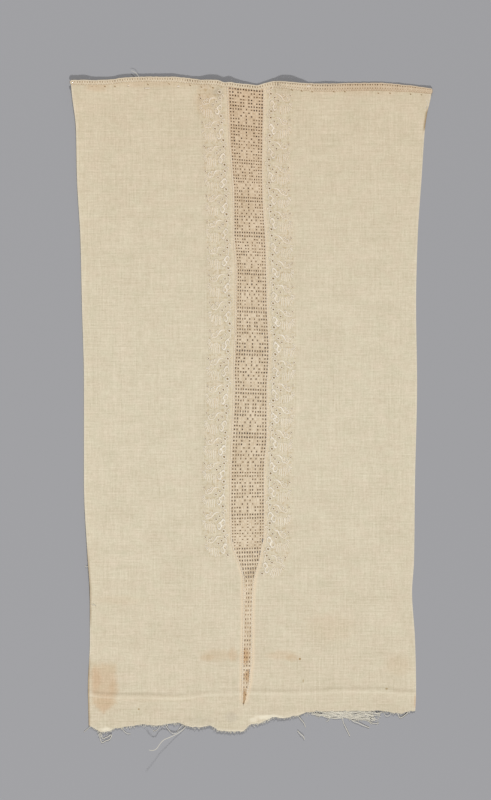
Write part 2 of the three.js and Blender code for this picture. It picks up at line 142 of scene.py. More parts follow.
# The inner eyelets beside the slit. Each row is the first eyelet of a repeat of the whitework,
# from the neck down, and the last row is the eyelet that closes the band.
BANDS = {
    -1: {"y": [187, 172.6, 158.2, 143.5, 128.7, 113.8, 98.1, 81.6, 65.1, 48.2, 31.5, 15.1, -1.3,
               -17.1, -31.7, -46.4, -61.4, -76.1, -90.6],
         "x": [-19.2, -18.3, -17, -16.3, -15.4, -15.1, -14.8, -13.9, -13.6, -13.1, -14.2, -14.5,
               -15.1, -15.8, -16.5, -16.7, -17.2, -16.7, -14.3]},
    1: {"y": [189.7, 175.5, 161.1, 146.6, 132.8, 119.2, 104.9, 89.6, 75.3, 60.5, 46, 29.8, 15.7,
              2.1, -11.9, -26.8, -41.6, -56.6, -71.3, -86.9, -101.7],
        "x": [11.5, 11.8, 10.9, 10.4, 10.5, 11.3, 11.9, 12.6, 13, 12.9, 13.4, 14.2, 13.4, 12.9,
              12.4, 12.2, 11.4, 11, 10.9, 10, 6.3]},
}
REPEAT = 16
# The right band's repeats slant down as they go out from the slit, and the left band's lie level.
SLANT = {-1: 0, 1: 0.13}
EYELET_HOLE = 0.33
# Where each eyelet of a repeat lies, out from the line beside the slit and down the repeat, and
# how large it is worked.
EYELETS = {
    "out": [0, 0, 2.2, 4.3, 11.6],
    "down": [0, 4.2, 6.4, 8.3, 4.2],
    "size": [1.3, 1.1, 1, 1, 0.7],
}

# The pricks that a needle made below the neck edging, when the insert was sewn in.
PRICKS = {
    "x": [-95.5, -93.2, -87.8, -81.8, -62, -49.3, -36.9, -30.2, -23.2, -31.3, -20.9, -23, 24.4, 30.1,
          36.5, 49.2, 56, 76.2, 83, 95.4, 102],
    "y": [190.2, 190, 190.2, 190.5, 191.7, 191.7, 191, 190, 189.5, 185.2, 182.2, 180.4, 188, 187.6,
          187.4, 187.3, 187.3, 186.3, 186.4, 185.8, 185.4],
    "radius": [0.26, 0.26, 0.35, 0.35, 0.35, 0.26, 0.35, 0.35, 0.35, 0.26, 0.26, 0.26, 0.35, 0.35,
               0.35, 0.35, 0.35, 0.35, 0.35, 0.35, 0.26],
}
# A small fold that stands up beside the tear, below the tail of the slit.
PLEAT = {"x": [-0.5, 1.5, 8.5, 10.5], "height": [0, 0.55, 0.55, 0]}
PLEAT_Y = -186.3
PLEAT_HALF_WIDTH = 0.7
# The torn edge strays this far from its line, with the weave's broken yarns.
RAGGED = 0.3
RAGGED_BELOW = -183
# The two grids are joined below the slit where their points lie this close to each other.
JOINED_WITHIN = 0.02
# How far from the edge the selvedge and its soil and painted shade reach, and how far from a hole its rim of
# soil and painted shade.
SELVEDGE_FADE = (0.2, 1.6)
SOIL_AND_SHADE_FADE = (0.2, 1.2)
HOLE_RIM = 0.1


def along(table, key, at, column):
    """A table's column at places between its rows, on a smooth line that never overshoots them."""
    places, values = np.array(table[key], float), np.array(table[column], float)
    if places[0] > places[-1]:
        places, values = places[::-1], values[::-1]
    steepness = np.diff(values) / np.diff(places)
    before, after = steepness[:-1], steepness[1:]
    same_way = before * after > 0
    middle = np.where(same_way, 2 * before * after / np.where(same_way, before + after, 1), 0)
    slope = np.concatenate([steepness[:1], middle, steepness[-1:]])
    at = np.clip(at, places[0], places[-1])
    i = np.clip(np.searchsorted(places, at) - 1, 0, len(places) - 2)
    width = places[i + 1] - places[i]
    t = (at - places[i]) / width
    straight = values[i] * (1 + 2 * t) * (1 - t) ** 2 + values[i + 1] * t * t * (3 - 2 * t)
    return straight + width * t * (1 - t) * (slope[i] * (1 - t) - slope[i + 1] * t)


def fade(value, start, end):
    """0 before start, 1 after end, and a smooth change between them."""
    share = np.clip((value - start) / (end - start), 0, 1)
    return share * share * (3 - 2 * share)


def cloth_top(x):
    return along(NECK, "x", x, "y") - along(NECK, "x", x, "edging")


def worked(x, y):
    """1 where the whitework is, and 0 on the plain cloth."""
    inside = np.zeros_like(x)
    for side, line in BANDS.items():
        out = side * (x - along(line, "y", y, "x"))
        starts = fade(out, BAND_REACH[0], BAND_REACH[0] + BAND_FADE)
        across = starts * (1 - fade(out, BAND_REACH[1] - BAND_FADE, BAND_REACH[1]))
        foot = line["y"][-1]
        down = fade(y, foot + BAND_FOOT[0], foot + BAND_FOOT[1])
        inside = np.maximum(inside, across * down)
    return inside


def rise(x, y):
    """How far the panel's underside stands off the table."""
    neck = along(NECK, "x", x, "lift") * np.clip(1 - (cloth_top(x) - y) / NECK_LIFT_DEPTH, 0, 1) ** 2
    from_crease = (y - along(CREASE, "x", x, "y")) / CREASE_HALF_WIDTH
    crease = CREASE_RISE * along(CREASE, "x", x, "depth") * np.exp(-from_crease ** 2)
    from_tear = np.clip((y - along(TORN_EDGE, "x", x, "y")) / RIM_DEPTH, 0, 1)
    rim = along(TORN_EDGE, "x", x, "lift") * (1 - from_tear) ** 2
    swell = np.sin(x / 13 + 1) * np.sin(y / 19) + np.sin(x / 31 - y / 23)
    strip = fade(x, *STRIP_SIDES[0]) * (1 - fade(x, *STRIP_SIDES[1])) * fade(y, *STRIP_FOOT)
    raised = BAND_RISE * np.maximum(worked(x, y), strip)
    pleat = along(PLEAT, "x", x, "height") * np.exp(-((y - PLEAT_Y) / PLEAT_HALF_WIDTH) ** 2)
    from_side = np.clip((x - along(SIDES, "y", y, "left")) / CURL_WIDTH, 0, 1)
    curl = along(CURL, "y", y, "lift") * (1 - from_side) ** 2
    return np.maximum(neck, curl) + np.maximum(crease, rim) + (REST_HEIGHT + RIPPLE * swell) + raised + pleat


def fitted_y(x, row_y):
    """A row's real height: the end rows follow the neck edge and the tear."""
    near_neck = np.clip((row_y - NECK_FIT[1]) / (NECK_FIT[0] - NECK_FIT[1]), 0, 1)
    near_tear = np.clip((TEAR_FIT[1] - row_y) / (TEAR_FIT[1] - TEAR_FIT[0]), 0, 1)
    torn = along(TORN_EDGE, "x", x, "y")
    return row_y + (cloth_top(x) - NECK_FIT[0]) * near_neck + (torn - TEAR_FIT[0]) * near_tear


def finished(work, name):
    """The mesh of what was worked with bmesh."""
    mesh = bpy.data.meshes.new(name)
    work.to_mesh(mesh)
    work.free()
    return mesh


def settled(mesh):
    """Lets a mesh that was laid out flat follow the panel's rise, and turns it to metres."""
    points = np.empty(len(mesh.vertices) * 3)
    mesh.vertices.foreach_get("co", points)
    points = points.reshape(-1, 3)
    points[:, 2] += rise(points[:, 0], points[:, 1])
    mesh.vertices.foreach_set("co", (points * MM).ravel())
    mesh.update()
    return mesh


def marked(mesh, name, values):
    """Writes one number for each point of a mesh, for its material to read."""
    mark = mesh.attributes.new(name, "FLOAT", "POINT")
    mark.data.foreach_set("value", np.asarray(values, np.float32))


def shown(name, data):
    """A new object with this shape, light or camera, in the scene."""
    thing = bpy.data.objects.new(name, data)
    bpy.context.scene.collection.objects.link(thing)
    return thing


def placed(name, mesh, finish):
    """Shows a finished mesh as a piece of the object."""
    mesh.name = name
    mesh.materials.append(finish)
    mesh.shade_smooth()
    piece = shown(name, mesh)
    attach(piece, "root")
    return piece


def band_point(side, i, out, down):
    """A place in one repeat of a band: out from its inner line, and down from its first eyelet."""
    line = BANDS[side]
    share = (down + SLANT[side] * out) / REPEAT
    x = line["x"][i] + (line["x"][i + 1] - line["x"][i]) * share + side * out
    y = line["y"][i] + (line["y"][i + 1] - line["y"][i]) * share
    return x, y


def eyelet_spots(k):
    """The middle of the eyelet number k of every repeat, as (x, y)."""
    spots = []
    for side, line in BANDS.items():
        for i in range(len(line["y"]) - 1):
            spots.append(band_point(side, i, EYELETS["out"][k], EYELETS["down"][k]))
        if k == 0:
            spots.append((line["x"][-1], line["y"][-1]))
    return spots


def cloth_rows():
    heights = [CLOTH_ROWS[0][0]]
    for top, bottom, steps in CLOTH_ROWS:
        heights += [top + (bottom - top) * (i + 1) / steps for i in range(steps)]
    return np.array(heights[::-1])


def woven_panel():
    """The panel as it was cut: two grids drawn out to the outline and joined below the slit."""
    panel = bmesh.new()
    heights = cloth_rows()
    rows = len(heights) - 1
    for half, outward in HALVES:
        grid = bmesh.ops.create_grid(panel, x_segments=CLOTH_COLUMNS, y_segments=rows, size=0.5)["verts"]
        share = np.array([v.co.x + 0.5 for v in grid])
        row_y = heights[[round((v.co.y + 0.5) * rows) for v in grid]]
        slit, side = along(OPENING, "y", row_y, half), along(SIDES, "y", row_y, half)
        low, high = (side, slit) if outward < 0 else (slit, side)
        x = low + (high - low) * share
        y = fitted_y(x, row_y)
        for vert, vert_x, vert_y in zip(grid, x, y):
            vert.co = (vert_x, vert_y, 0)
    bmesh.ops.remove_doubles(panel, verts=panel.verts, dist=JOINED_WITHIN)
    return panel


def pierced(panel, spots, radius):
    """Opens a round hole at each spot, by moving the nearest point of the weave there."""
    panel.verts.ensure_lookup_table()
    places = np.array([v.co[:2] for v in panel.verts])
    chosen = []
    for spot in spots:
        nearest = int(np.argmin(((places - spot) ** 2).sum(1)))
        panel.verts[nearest].co = (*spot, 0)
        places[nearest] = np.inf
        chosen.append(panel.verts[nearest])
    made = bmesh.ops.bevel(panel, geom=chosen, offset=radius, offset_type="OFFSET",
                           affect="VERTICES", segments=2, profile=0.5, material=-1)
    middles = np.array(spots)
    inside = [f for f in made["faces"]
              if ((middles - f.calc_center_median()[:2]) ** 2).sum(1).min() < (radius * 0.8) ** 2]
    bmesh.ops.delete(panel, geom=inside, context="FACES")


panel = woven_panel()
for k, size in enumerate(EYELETS["size"]):
    pierced(panel, eyelet_spots(k), EYELET_HOLE * size)
for x, y, radius in zip(*PRICKS.values()):
    pierced(panel, [(x, y)], radius)
ragged = random.Random(4)
for vert in panel.verts:
    if vert.is_boundary and vert.co.y < RAGGED_BELOW:
        vert.co.y += ragged.uniform(-RAGGED, RAGGED)
bmesh.ops.solidify(panel, geom=panel.faces[:], thickness=CLOTH_THICKNESS)
bmesh.ops.translate(panel, verts=panel.verts, vec=(0, 0, CLOTH_THICKNESS))
cloth_mesh = finished(panel, "ground_cloth_woven")

# What the cloth's finish has to know at each point.
flat_x, flat_y = np.array([v.co[:2] for v in cloth_mesh.vertices]).T
hemmed, soil_and_shade = np.zeros((2, len(flat_x)))
edge_gap = np.full(len(flat_x), np.inf)
for half, outward in HALVES:
    from_slit = outward * (flat_x - along(OPENING, "y", flat_y, half))
    turned_in = 1 - fade(from_slit, HEM_WIDTH[half] - HEM_FADE, HEM_WIDTH[half])
    hemmed = np.maximum(hemmed, (from_slit > -HEM_SLACK) * turned_in)
    from_side = outward * (along(SIDES, "y", flat_y, half) - flat_x)
    edge_gap = np.minimum(edge_gap, from_side)
    soiled_and_shaded = np.interp(flat_y, SIDE_SOIL_AND_SHADE["y"], SIDE_SOIL_AND_SHADE[half])
    soil_and_shade = np.maximum(soil_and_shade, soiled_and_shaded * (1 - fade(from_side, *SOIL_AND_SHADE_FADE)))
hemmed *= fade(flat_y, *HEM_FOOT) * (1 - 0.5 * fade(flat_y, *HALF_HIDDEN))
holes = [(*place, EYELET_HOLE * size) for k, size in enumerate(EYELETS["size"]) for place in eyelet_spots(k)]
rim_of = np.zeros(len(flat_x), int)
for number, (x, y, radius) in enumerate([*holes, *zip(*PRICKS.values())], 1):
    rim_of[np.hypot(flat_x - x, flat_y - y) < radius + HOLE_RIM] = number
# A face that touches two holes would be tinted right across, so the rims at its corners are left untinted.
pricked = rim_of > 0
for face in cloth_mesh.polygons:
    corners = list(face.vertices)
    if len(set(rim_of[corners]) - {0}) > 1:
        pricked[corners] = False
marks = {
    "worked": worked(flat_x, flat_y),
    "selvedge": 1 - fade(edge_gap, *SELVEDGE_FADE),
    "from_crease": flat_y - along(CREASE, "x", flat_x, "y"),
    "crease_depth": along(CREASE, "x", flat_x, "depth"),
    "from_tear": flat_y - along(TORN_EDGE, "x", flat_x, "y"),
    "rim_highlight": np.interp(flat_x, RIM_HIGHLIGHT["x"], RIM_HIGHLIGHT["highlights"]),
    "hemmed": hemmed,
    "side_soil_and_shade": soil_and_shade,
    "pricked": pricked,
}
for name, values in marks.items():
    marked(cloth_mesh, name, values)
settled(cloth_mesh)


def linear(code):
    """An sRGB hex colour as the linear numbers that a shader takes."""
    parts = [int(code[i:i + 2], 16) / 255 for i in (1, 3, 5)]
    return [p / 12.92 if p <= 0.04045 else ((p + 0.055) / 1.055) ** 2.4 for p in parts] + [1]


def node(place, kind, inputs=None, **settings):
    """Adds a node to a tree, or to the tree of a link, with its inputs as numbers or as links."""
    tree = place.id_data
    made = tree.nodes.new(kind)
    for name, value in settings.items():
        setattr(made, name, value)
    for socket, value in (inputs or {}).items():
        if isinstance(value, bpy.types.NodeSocket):
            tree.links.new(value, made.inputs[socket])
        else:
            made.inputs[socket].default_value = value
    return made


def bare_finish(name, roughness, gloss=0.5):
    """A new material, with its tree, its shader and the places on the object that it is read at."""
    finish = bpy.data.materials.new(name)
    finish.use_nodes = True
    tree = finish.node_tree
    tree.nodes.clear()
    shader = node(tree, "ShaderNodeBsdfPrincipled", {"Roughness": roughness, "Specular IOR Level": gloss})
    node(tree, "ShaderNodeOutputMaterial", {"Surface": shader.outputs[0]})
    return finish, tree, shader, node(tree, "ShaderNodeTexCoord").outputs["Object"]


def laid(colour, other, share, strength=1, way="MIX"):
    """A colour with another laid over it, as far as a share and its strength say."""
    part = node(share, "ShaderNodeMath", {0: share, 1: strength}, operation="MULTIPLY").outputs[0]
    return node(part, "ShaderNodeMix", {"Factor": part, "A": colour, "B": linear(other)},
                data_type="RGBA", blend_type=way).outputs["Result"]


def tinted(colour, tint, share, strength=1):
    """A colour multiplied by a tint, as far as a share and its strength say."""
    return laid(colour, tint, share, strength, "MULTIPLY")


def streaks(spot, size, depth=50, detail=2):
    """A noise whose grains have the given size in mm along x and y, as a number about 0.5."""
    scale = [1 / (s * MM) for s in (*size, depth)]
    grains = node(spot, "ShaderNodeMapping", {"Vector": spot, "Scale": scale}).outputs[0]
    return node(spot, "ShaderNodeTexNoise", {"Vector": grains, "Scale": 1.0, "Detail": detail}).outputs["Fac"]


def weighted(*parts):
    """The sum of numbers, each less a half and times its weight, plus a half."""
    total = 0.5
    for value, weight in parts:
        part = node(value, "ShaderNodeMath", {0: value, 1: weight, 2: -weight / 2}, operation="MULTIPLY_ADD")
        total = node(value, "ShaderNodeMath", {0: part.outputs[0], 1: total}, operation="ADD").outputs[0]
    return total


def blot(spot, middle, reach, turn=0, square=False):
    """1 well inside a blot on the panel and 0 outside it, with a soft and uneven edge."""
    turned = Matrix.Rotation(math.radians(turn), 2) @ Vector((middle[0] / reach[0], middle[1] / reach[1]))
    from_middle = node(spot, "ShaderNodeMapping", {
        "Vector": spot, "Location": (-turned.x, -turned.y, 0), "Rotation": (0, 0, math.radians(turn)),
        "Scale": (1 / (reach[0] * MM), 1 / (reach[1] * MM), 0)}).outputs[0]
    core = 0.6 if square else 0.35
    if square:
        apart = node(spot, "ShaderNodeVectorMath", {0: from_middle}, operation="ABSOLUTE").outputs[0]
        sides = node(spot, "ShaderNodeSeparateXYZ", {"Vector": apart}).outputs
        away = node(spot, "ShaderNodeMath", {0: sides["X"], 1: sides["Y"]}, operation="MAXIMUM").outputs[0]
    else:
        away = node(spot, "ShaderNodeVectorMath", {0: from_middle}, operation="LENGTH").outputs["Value"]
    soft = (1 - core) * 0.8
    uneven = streaks(spot, (2.2, 2.2), detail=3)
    wavy = node(spot, "ShaderNodeMath", {0: uneven, 1: soft, 2: away}, operation="MULTIPLY_ADD").outputs[0]
    bounds = {"Value": wavy, "From Min": 1 + soft / 2, "From Max": core + soft / 2}
    return node(spot, "ShaderNodeMapRange", bounds, interpolation_type="SMOOTHSTEP").outputs[0]


def blotted(spot, colour, tint, blots):
    """A colour with a tint in every blot of a table."""
    for *place, strength in blots:
        colour = tinted(colour, tint, blot(spot, *place), strength)
    return colour


def line_at(distance, middle, half_width):
    """1 where a distance in mm is at the middle of a line, fading to 0 at its sides."""
    away = node(distance, "ShaderNodeMath", {0: distance, 1: middle}, operation="SUBTRACT").outputs[0]
    apart = node(distance, "ShaderNodeMath", {0: away}, operation="ABSOLUTE").outputs[0]
    bounds = {"Value": apart, "From Min": half_width, "From Max": 0.0}
    return node(distance, "ShaderNodeMapRange", bounds, interpolation_type="SMOOTHSTEP").outputs[0]


def towards(spot, end):
    """0 at the middle of the panel and 1 at one end of it, growing slowly at first."""
    height = node(spot, "ShaderNodeSeparateXYZ", {"Vector": spot}).outputs["Y"]
    bounds = {"Value": height, "From Min": 0.0, "From Max": end * MM}
    share = node(spot, "ShaderNodeMapRange", bounds).outputs[0]
    return node(spot, "ShaderNodeMath", {0: share, 1: 1.4}, operation="POWER").outputs[0]


# Unbleached plain weave: matt and dry, with thick and thin places in the yarn that show as short
# and long streaks along the weft and the warp. It has yellowed towards the neck, and has a square
# brown stain and a few blots at the foot.
CLOTH_DARK = "#CABFA5"
CLOTH_LIGHT = "#E7DCC5"
SLUB_WIDTH = 0.9
SLUB_LENGTH = 5
LONG_SLUB = 30
CLOUD = (18, 12)
HUE_CLOUD = (9, 7)
YELLOWED = "#F6ECE4"
SOILED = "#FBFAFA"
STAINED = "#F8EADF"
SELVEDGE = "#E9E1D1"
PAINTED_HIGHLIGHT = "#F2E9D2"
CREASE_SHADE = "#E6E4DF"
NEEDLED_AND_SHADED = "#EFE8DC"
PINKER = "#FFFBFA"
GREENER = "#FCFEFB"
THIN_WEAVE_AND_SHADE = "#EEF0F2"
HEM_WARMTH_AND_HIGHLIGHT = "#EAD4B6"
HOLE_SOIL_AND_SHADE = "#B89A68"
EDGE_SOIL_AND_SHADE = "#B09A78"
SPECK = "#C4AC84"
# How much of each of these shows over the weave.
SHARES = {"yellowed": 0.5, "patch": 0.75, "selvedge": 0.2, "pucker_shade": 0.05, "hem": 0.65, "crease": 0.45,
          "crease_highlight": 0.2, "rim_highlight": 0.38}
# Painted shade and highlights along the crease and the tear: how far above the line the middle is, and the
# half width.
CREASE_SHADOW = (1.4, 1.6)
CREASE_HIGHLIGHT = (-1.2, 1.3)
TEAR_HIGHLIGHT = (0.0, 2.0)
# The brown stain at the lower left is square above and comes to a point below. Each part has its
# middle, its reach along x and y, and a turn in degrees if it is turned.
PATCH = [((-88.5, -167.3), (8.9, 14.2)), ((-88.6, -179.0), (6.4, 6.0), 45)]
# The blots and specks are round, and have their strength at the end.
BLOTS = [
    ((-94, -165.6), (5, 10), 0.5),
    ((-82.4, -170.5), (4.5, 6), 0.4),
    ((-88, -179), (9, 7), 0.35),
    ((-20.4, -150.6), (14, 5), 0.45),
    ((-26.7, -152.4), (6, 3), 0.4),
    ((-11, -150.5), (4, 6), 0.5),
    ((-4.5, -151.8), (4, 5), 0.8),
    ((18.3, -150.6), (13, 4), 0.45),
    ((24.3, -152.4), (5, 3), 0.45),
    ((47, -134), (20, 13), 0.25),
    ((88, -156.6), (11, 9), 0.3),
    ((-79, -117.6), (20, 4), 0.2),
    ((-60, -176.5), (45, 3), 0.15),
    ((98.3, -178.5), (1.2, 7), 1.0),
    ((-92.4, 190), (9, 4), 0.5),
    ((-60, 192), (50, 3), 0.35),
    ((-27.9, 182), (9, 14), 0.4),
    ((68, 188), (46, 4), 0.25),
]
SPECKS = [((29, -152.9), (0.9, 0.9), 1.0), ((-67.6, -183), (0.8, 0.8), 0.7),
          ((81, -170.8), (1.2, 0.7), 0.7), ((31, -166), (0.6, 1.4), 0.5)]
# Thin grey places in the weave, one of them painted shade where the cloth slopes up to the tear; and painted
# highlights where the torn edge is folded up double, along the curled rim, and on the pleat.
THIN_AND_SHADED_PLACES = [((-12, -188), (5.5, 4.5), 0.7), ((-30, -190), (14, 3), 0.3),
           ((-20, 186.6), (4.5, 3.5), 0.9)]
FLAP_AND_RIM_HIGHLIGHTS = [((-87, -195.3), (5.4, 2.2), 10, 0.75), ((11, -187.8), (13, 2.2), 0.8),
           ((1, -189.5), (4, 2), 0.6), ((35, -187), (12, 3), 0.3)]

cloth_finish, tree, shader, spot = bare_finish("unbleached_plain_weave", 0.92, 0.15)
mark = {name: node(tree, "ShaderNodeAttribute", attribute_name=name).outputs["Fac"] for name in marks}
weft = streaks(spot, (SLUB_LENGTH, SLUB_WIDTH))
warp = streaks(spot, (SLUB_WIDTH, SLUB_LENGTH))
long_weft = streaks(spot, (LONG_SLUB, SLUB_WIDTH), detail=1)
long_warp = streaks(spot, (SLUB_WIDTH, LONG_SLUB), detail=1)
grain = streaks(spot, (SLUB_WIDTH, SLUB_WIDTH), detail=3)
cloud = streaks(spot, CLOUD, detail=1)
mottle = weighted((weft, 0.8), (warp, 0.75), (long_weft, 0.55), (long_warp, 0.55), (grain, 0.9), (cloud, 0.4))
colour = node(tree, "ShaderNodeMix", {"Factor": mottle, "A": linear(CLOTH_DARK), "B": linear(CLOTH_LIGHT)},
              data_type="RGBA").outputs["Result"]
hue = weighted((streaks(spot, HUE_CLOUD), 1.6))
cast = node(tree, "ShaderNodeMix", {"Factor": hue, "A": linear(GREENER), "B": linear(PINKER)},
            data_type="RGBA").outputs["Result"]
colour = node(tree, "ShaderNodeMix", {"Factor": 1.0, "A": colour, "B": cast}, data_type="RGBA",
              blend_type="MULTIPLY").outputs["Result"]
colour = tinted(colour, YELLOWED, towards(spot, 200), SHARES["yellowed"])
colour = tinted(colour, SOILED, towards(spot, -180))
colour = blotted(spot, colour, STAINED, BLOTS)
# The first of these places is painted shade, where the cloth slopes up to the tear.
colour = blotted(spot, colour, THIN_WEAVE_AND_SHADE, THIN_AND_SHADED_PLACES)
square, point = [blot(spot, *place, square=True) for place in PATCH]
patch = node(tree, "ShaderNodeMath", {0: square, 1: point}, operation="MAXIMUM").outputs[0]
colour = tinted(colour, STAINED, patch, SHARES["patch"])
colour = laid(colour, SELVEDGE, mark["selvedge"], SHARES["selvedge"])
# Painted shade: the whitework band is a little darker all over, for the shade of the puckers between its
# stitches.
colour = tinted(colour, STAINED, mark["worked"], SHARES["pucker_shade"])
# The hem is warmer double cloth, and its tint is also a painted highlight along the hem's rolled edge.
colour = laid(colour, HEM_WARMTH_AND_HIGHLIGHT, mark["hemmed"], SHARES["hem"])
# Each needle hole between the stitches of the whitework shows as a small darker dot, and the dots also paint
# the shade of the puckers between the stitches.
NEEDLE_AND_PUCKER_DOT = 1.5
DOT_EDGE = (0.52, 0.68)
needle_and_pucker_noise = streaks(spot, (NEEDLE_AND_PUCKER_DOT, NEEDLE_AND_PUCKER_DOT), detail=1)
bounds = {"Value": needle_and_pucker_noise, "From Min": DOT_EDGE[0], "From Max": DOT_EDGE[1]}
needle_and_pucker_dots = node(tree, "ShaderNodeMapRange", bounds).outputs[0]
colour = tinted(colour, NEEDLED_AND_SHADED, needle_and_pucker_dots, mark["worked"])
shadow = line_at(mark["from_crease"], *CREASE_SHADOW)
shade = node(tree, "ShaderNodeMath", {0: shadow, 1: mark["crease_depth"]}, operation="MULTIPLY").outputs[0]
colour = tinted(colour, CREASE_SHADE, shade, SHARES["crease"])
# Painted highlight along the torn rim, where it curls up to the light.
at_tear = line_at(mark["from_tear"], *TEAR_HIGHLIGHT)
painted_rim_highlight = node(tree, "ShaderNodeMath", {0: at_tear, 1: mark["rim_highlight"]}, operation="MULTIPLY").outputs[0]
# Where several of these painted highlights lie over each other, the cloth is as pale as the strongest of
# them.
highlights = [(line_at(mark["from_crease"], *CREASE_HIGHLIGHT), SHARES["crease_highlight"]), (painted_rim_highlight, SHARES["rim_highlight"])]
highlights += [(blot(spot, *place), strength) for *place, strength in FLAP_AND_RIM_HIGHLIGHTS]
pale_highlight = 0.0
for share, strength in highlights:
    part = node(tree, "ShaderNodeMath", {0: share, 1: strength}, operation="MULTIPLY").outputs[0]
    pale_highlight = node(tree, "ShaderNodeMath", {0: part, 1: pale_highlight}, operation="MAXIMUM").outputs[0]
colour = laid(colour, PAINTED_HIGHLIGHT, pale_highlight)
# Only the rim of a hole is tinted, with soil and painted shade, so the share falls off steeply away from it.
STEEP = 5.0
rim = node(tree, "ShaderNodeMath", {0: mark["pricked"], 1: STEEP}, operation="POWER").outputs[0]
colour = tinted(colour, HOLE_SOIL_AND_SHADE, rim)
# Painted brown along the side edges: soil near the foot, and painted shade and shadow where the edges lift.
colour = tinted(colour, EDGE_SOIL_AND_SHADE, mark["side_soil_and_shade"])
colour = blotted(spot, colour, SPECK, SPECKS)
tree.links.new(colour, shader.inputs["Base Color"])

# Puckers pull the cloth up between the stitches of the whitework, and the slubs stand up all over.
PUCKER = (0.9, 3.2)
PUCKER_HEIGHT = 2.2
RELIEF = 0.25
RELIEF_STRENGTH = 0.35
FOLD_ANGLE = 50
pucker = weighted((streaks(spot, PUCKER), 0.8), (streaks(spot, PUCKER[::-1]), 0.8))
pulled = node(tree, "ShaderNodeMath", {0: pucker, 1: mark["worked"]}, operation="MULTIPLY").outputs[0]
slubs = weighted((weft, 0.5), (warp, 0.5), (grain, 0.5))
relief = node(tree, "ShaderNodeMath", {0: pulled, 1: PUCKER_HEIGHT, 2: slubs}, operation="MULTIPLY_ADD")
bump = node(tree, "ShaderNodeBump", {"Height": relief.outputs[0], "Strength": RELIEF_STRENGTH,
                                     "Distance": RELIEF * MM})
tree.links.new(bump.outputs[0], shader.inputs["Normal"])

ground_cloth = placed("ground_cloth_woven", cloth_mesh, cloth_finish)
cloth_mesh.set_sharp_from_angle(angle=math.radians(FOLD_ANGLE))
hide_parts("ground_cloth")


# Crochet insertion. A long strip of fine pinkish beige cotton, worked in upright trebles between
# rows of chain. Open cells make bars of mesh with an eight-pointed star between each two.
LATTICE = {
    "y": [189, 143.4, 125.4, 101.4, 92.4, 80.4, 58.2, 32.4, 20.4, 9, -17.4, -41.4, -61.8, -75.6,
          -89.2, -109, -127.8, -144, -159.6, -177.6],
    "left": [-13, -11.1, -9.8, -9.8, -8.8, -7.9, -8.1, -8.6, -9.6, -9.2, -10.4, -11.3, -11.6, -11.3,
             -11.7, -10.4, -10.8, -11.6, -12.6, -12.2],
    "right": [6.5, 5.7, 6.1, 7.5, 7.8, 8.2, 8.6, 9.7, 9.2, 8.4, 8.4, 6.7, 6.8, 6.8, 6.6, 7.2, 6.7,
              6.6, 6.8, 6.0],
}
TILT = {"y": [191, 167, 124, 80, 9, -41, -66, -87, -180],
        "drop": [1.6, 1.7, 0.9, 0.7, 0.7, 0, -0.6, -0.6, 0]}
LACE_COLUMNS = 13
BARS = [(189.0, 189.0), (167.5, 165.6), (146.8, 144.9), (124.2, 122.1), (103.2, 100.9), (80.4, 78.2),
        (58.0, 55.5), (32.3, 29.8), (9.1, 6.7), (-17.3, -19.8), (-41.2, -43.1), (-66.5, -68.8),
        (-86.8, -89.2)]
# Each line is one row of cells, with o for an open cell and a dot for a solid one.
STAR_CHARTS = [
    ["oo.oo...oo.oo", "oooo.o.o.oooo", "oo..oo.oo..oo", "ooo.oo.oo.ooo", "oooooo.oooooo",
     "ooooo.o.ooooo", "oo...o.o...oo", "oo..o.o.o..oo", "oooo..o..oooo", "oo.o..o..o.oo"],
    ["oo.o..o..o.oo", "oooo..o..oooo", "oo..o.o.o..oo", "oo.o.o.o.o.oo", "ooooo.o.ooooo",
     "oo.o.o.o.o.oo", "oo..o.o.o..oo", "oooo..o..oooo", "oo.o..o..o.oo"],
]
TAPER_ROWS = [-91.7, -94.1, -96.4, -98.9, -101.4, -103.9, -106.4, -108.9, -111.4, -113.8]
TAIL_PITCH = 2.55
TAIL_END = -171
# How far the first row reaches above its middle, and the last row below it.
END_REACH = (1.1, 1.2)
TREBLE_WIDTH = 0.80
CHAIN_WIDTH = 1.08
LACE_HEIGHT = 0.45
LACE_FOOT = 1.6
# How high the three kinds of stitch lie, and how much thicker a solid cell's treble is.
TREBLE_RISE = 0.25
SOLID_RISE = 0.23
CHAIN_RISE = 0.28
SOLID_STITCH = 1.5
# The hand that worked it: how a stitch varies, and how far the lines waver.
STITCH_RANGE = (0.85, 1.2)
WAVER = (0.1, 0.08)
# The stitches of the tail are packed closer than those of the strip.
TAIL_TOP = -104
TAIL_STITCH = 1.4
# A cell is crossed by a fibre that has worked out of the thread, and by three lower down.
FIBRE_WIDTH = 0.15
WORN_BELOW = 68
# Each stitch is narrow at its ends and in the grooves between the wraps of its thread.
END_SWELL = 0.55
GROOVE_SWELL = 0.82


def wound_bar(length, width, height, wraps, sides=6, foot=1.0):
    """A short bar along y, ridged by the thread wound round it, closed at its ends and wider below."""
    bar = bmesh.new()
    upright = Matrix.Rotation(math.pi / 2, 4, "X")
    bmesh.ops.create_cone(bar, cap_ends=True, segments=sides, radius1=0.5, radius2=0.5, depth=length,
                          matrix=upright)
    long_edges = [e for e in bar.edges if abs(e.verts[0].co.y - e.verts[1].co.y) > length / 2]
    bmesh.ops.subdivide_edges(bar, edges=long_edges, cuts=2 * wraps - 1)
    for vert in bar.verts:
        step = round((vert.co.y / length + 0.5) * 2 * wraps)
        swell = END_SWELL if step in (0, 2 * wraps) else 1.0 if step % 2 else GROOVE_SWELL
        spread = foot if vert.co.z < -0.1 else (1 + foot) / 2 if vert.co.z < 0.1 else 1
        vert.co.x *= width * swell * spread
        vert.co.z *= height * swell
    return finished(bar, "wound_bar")


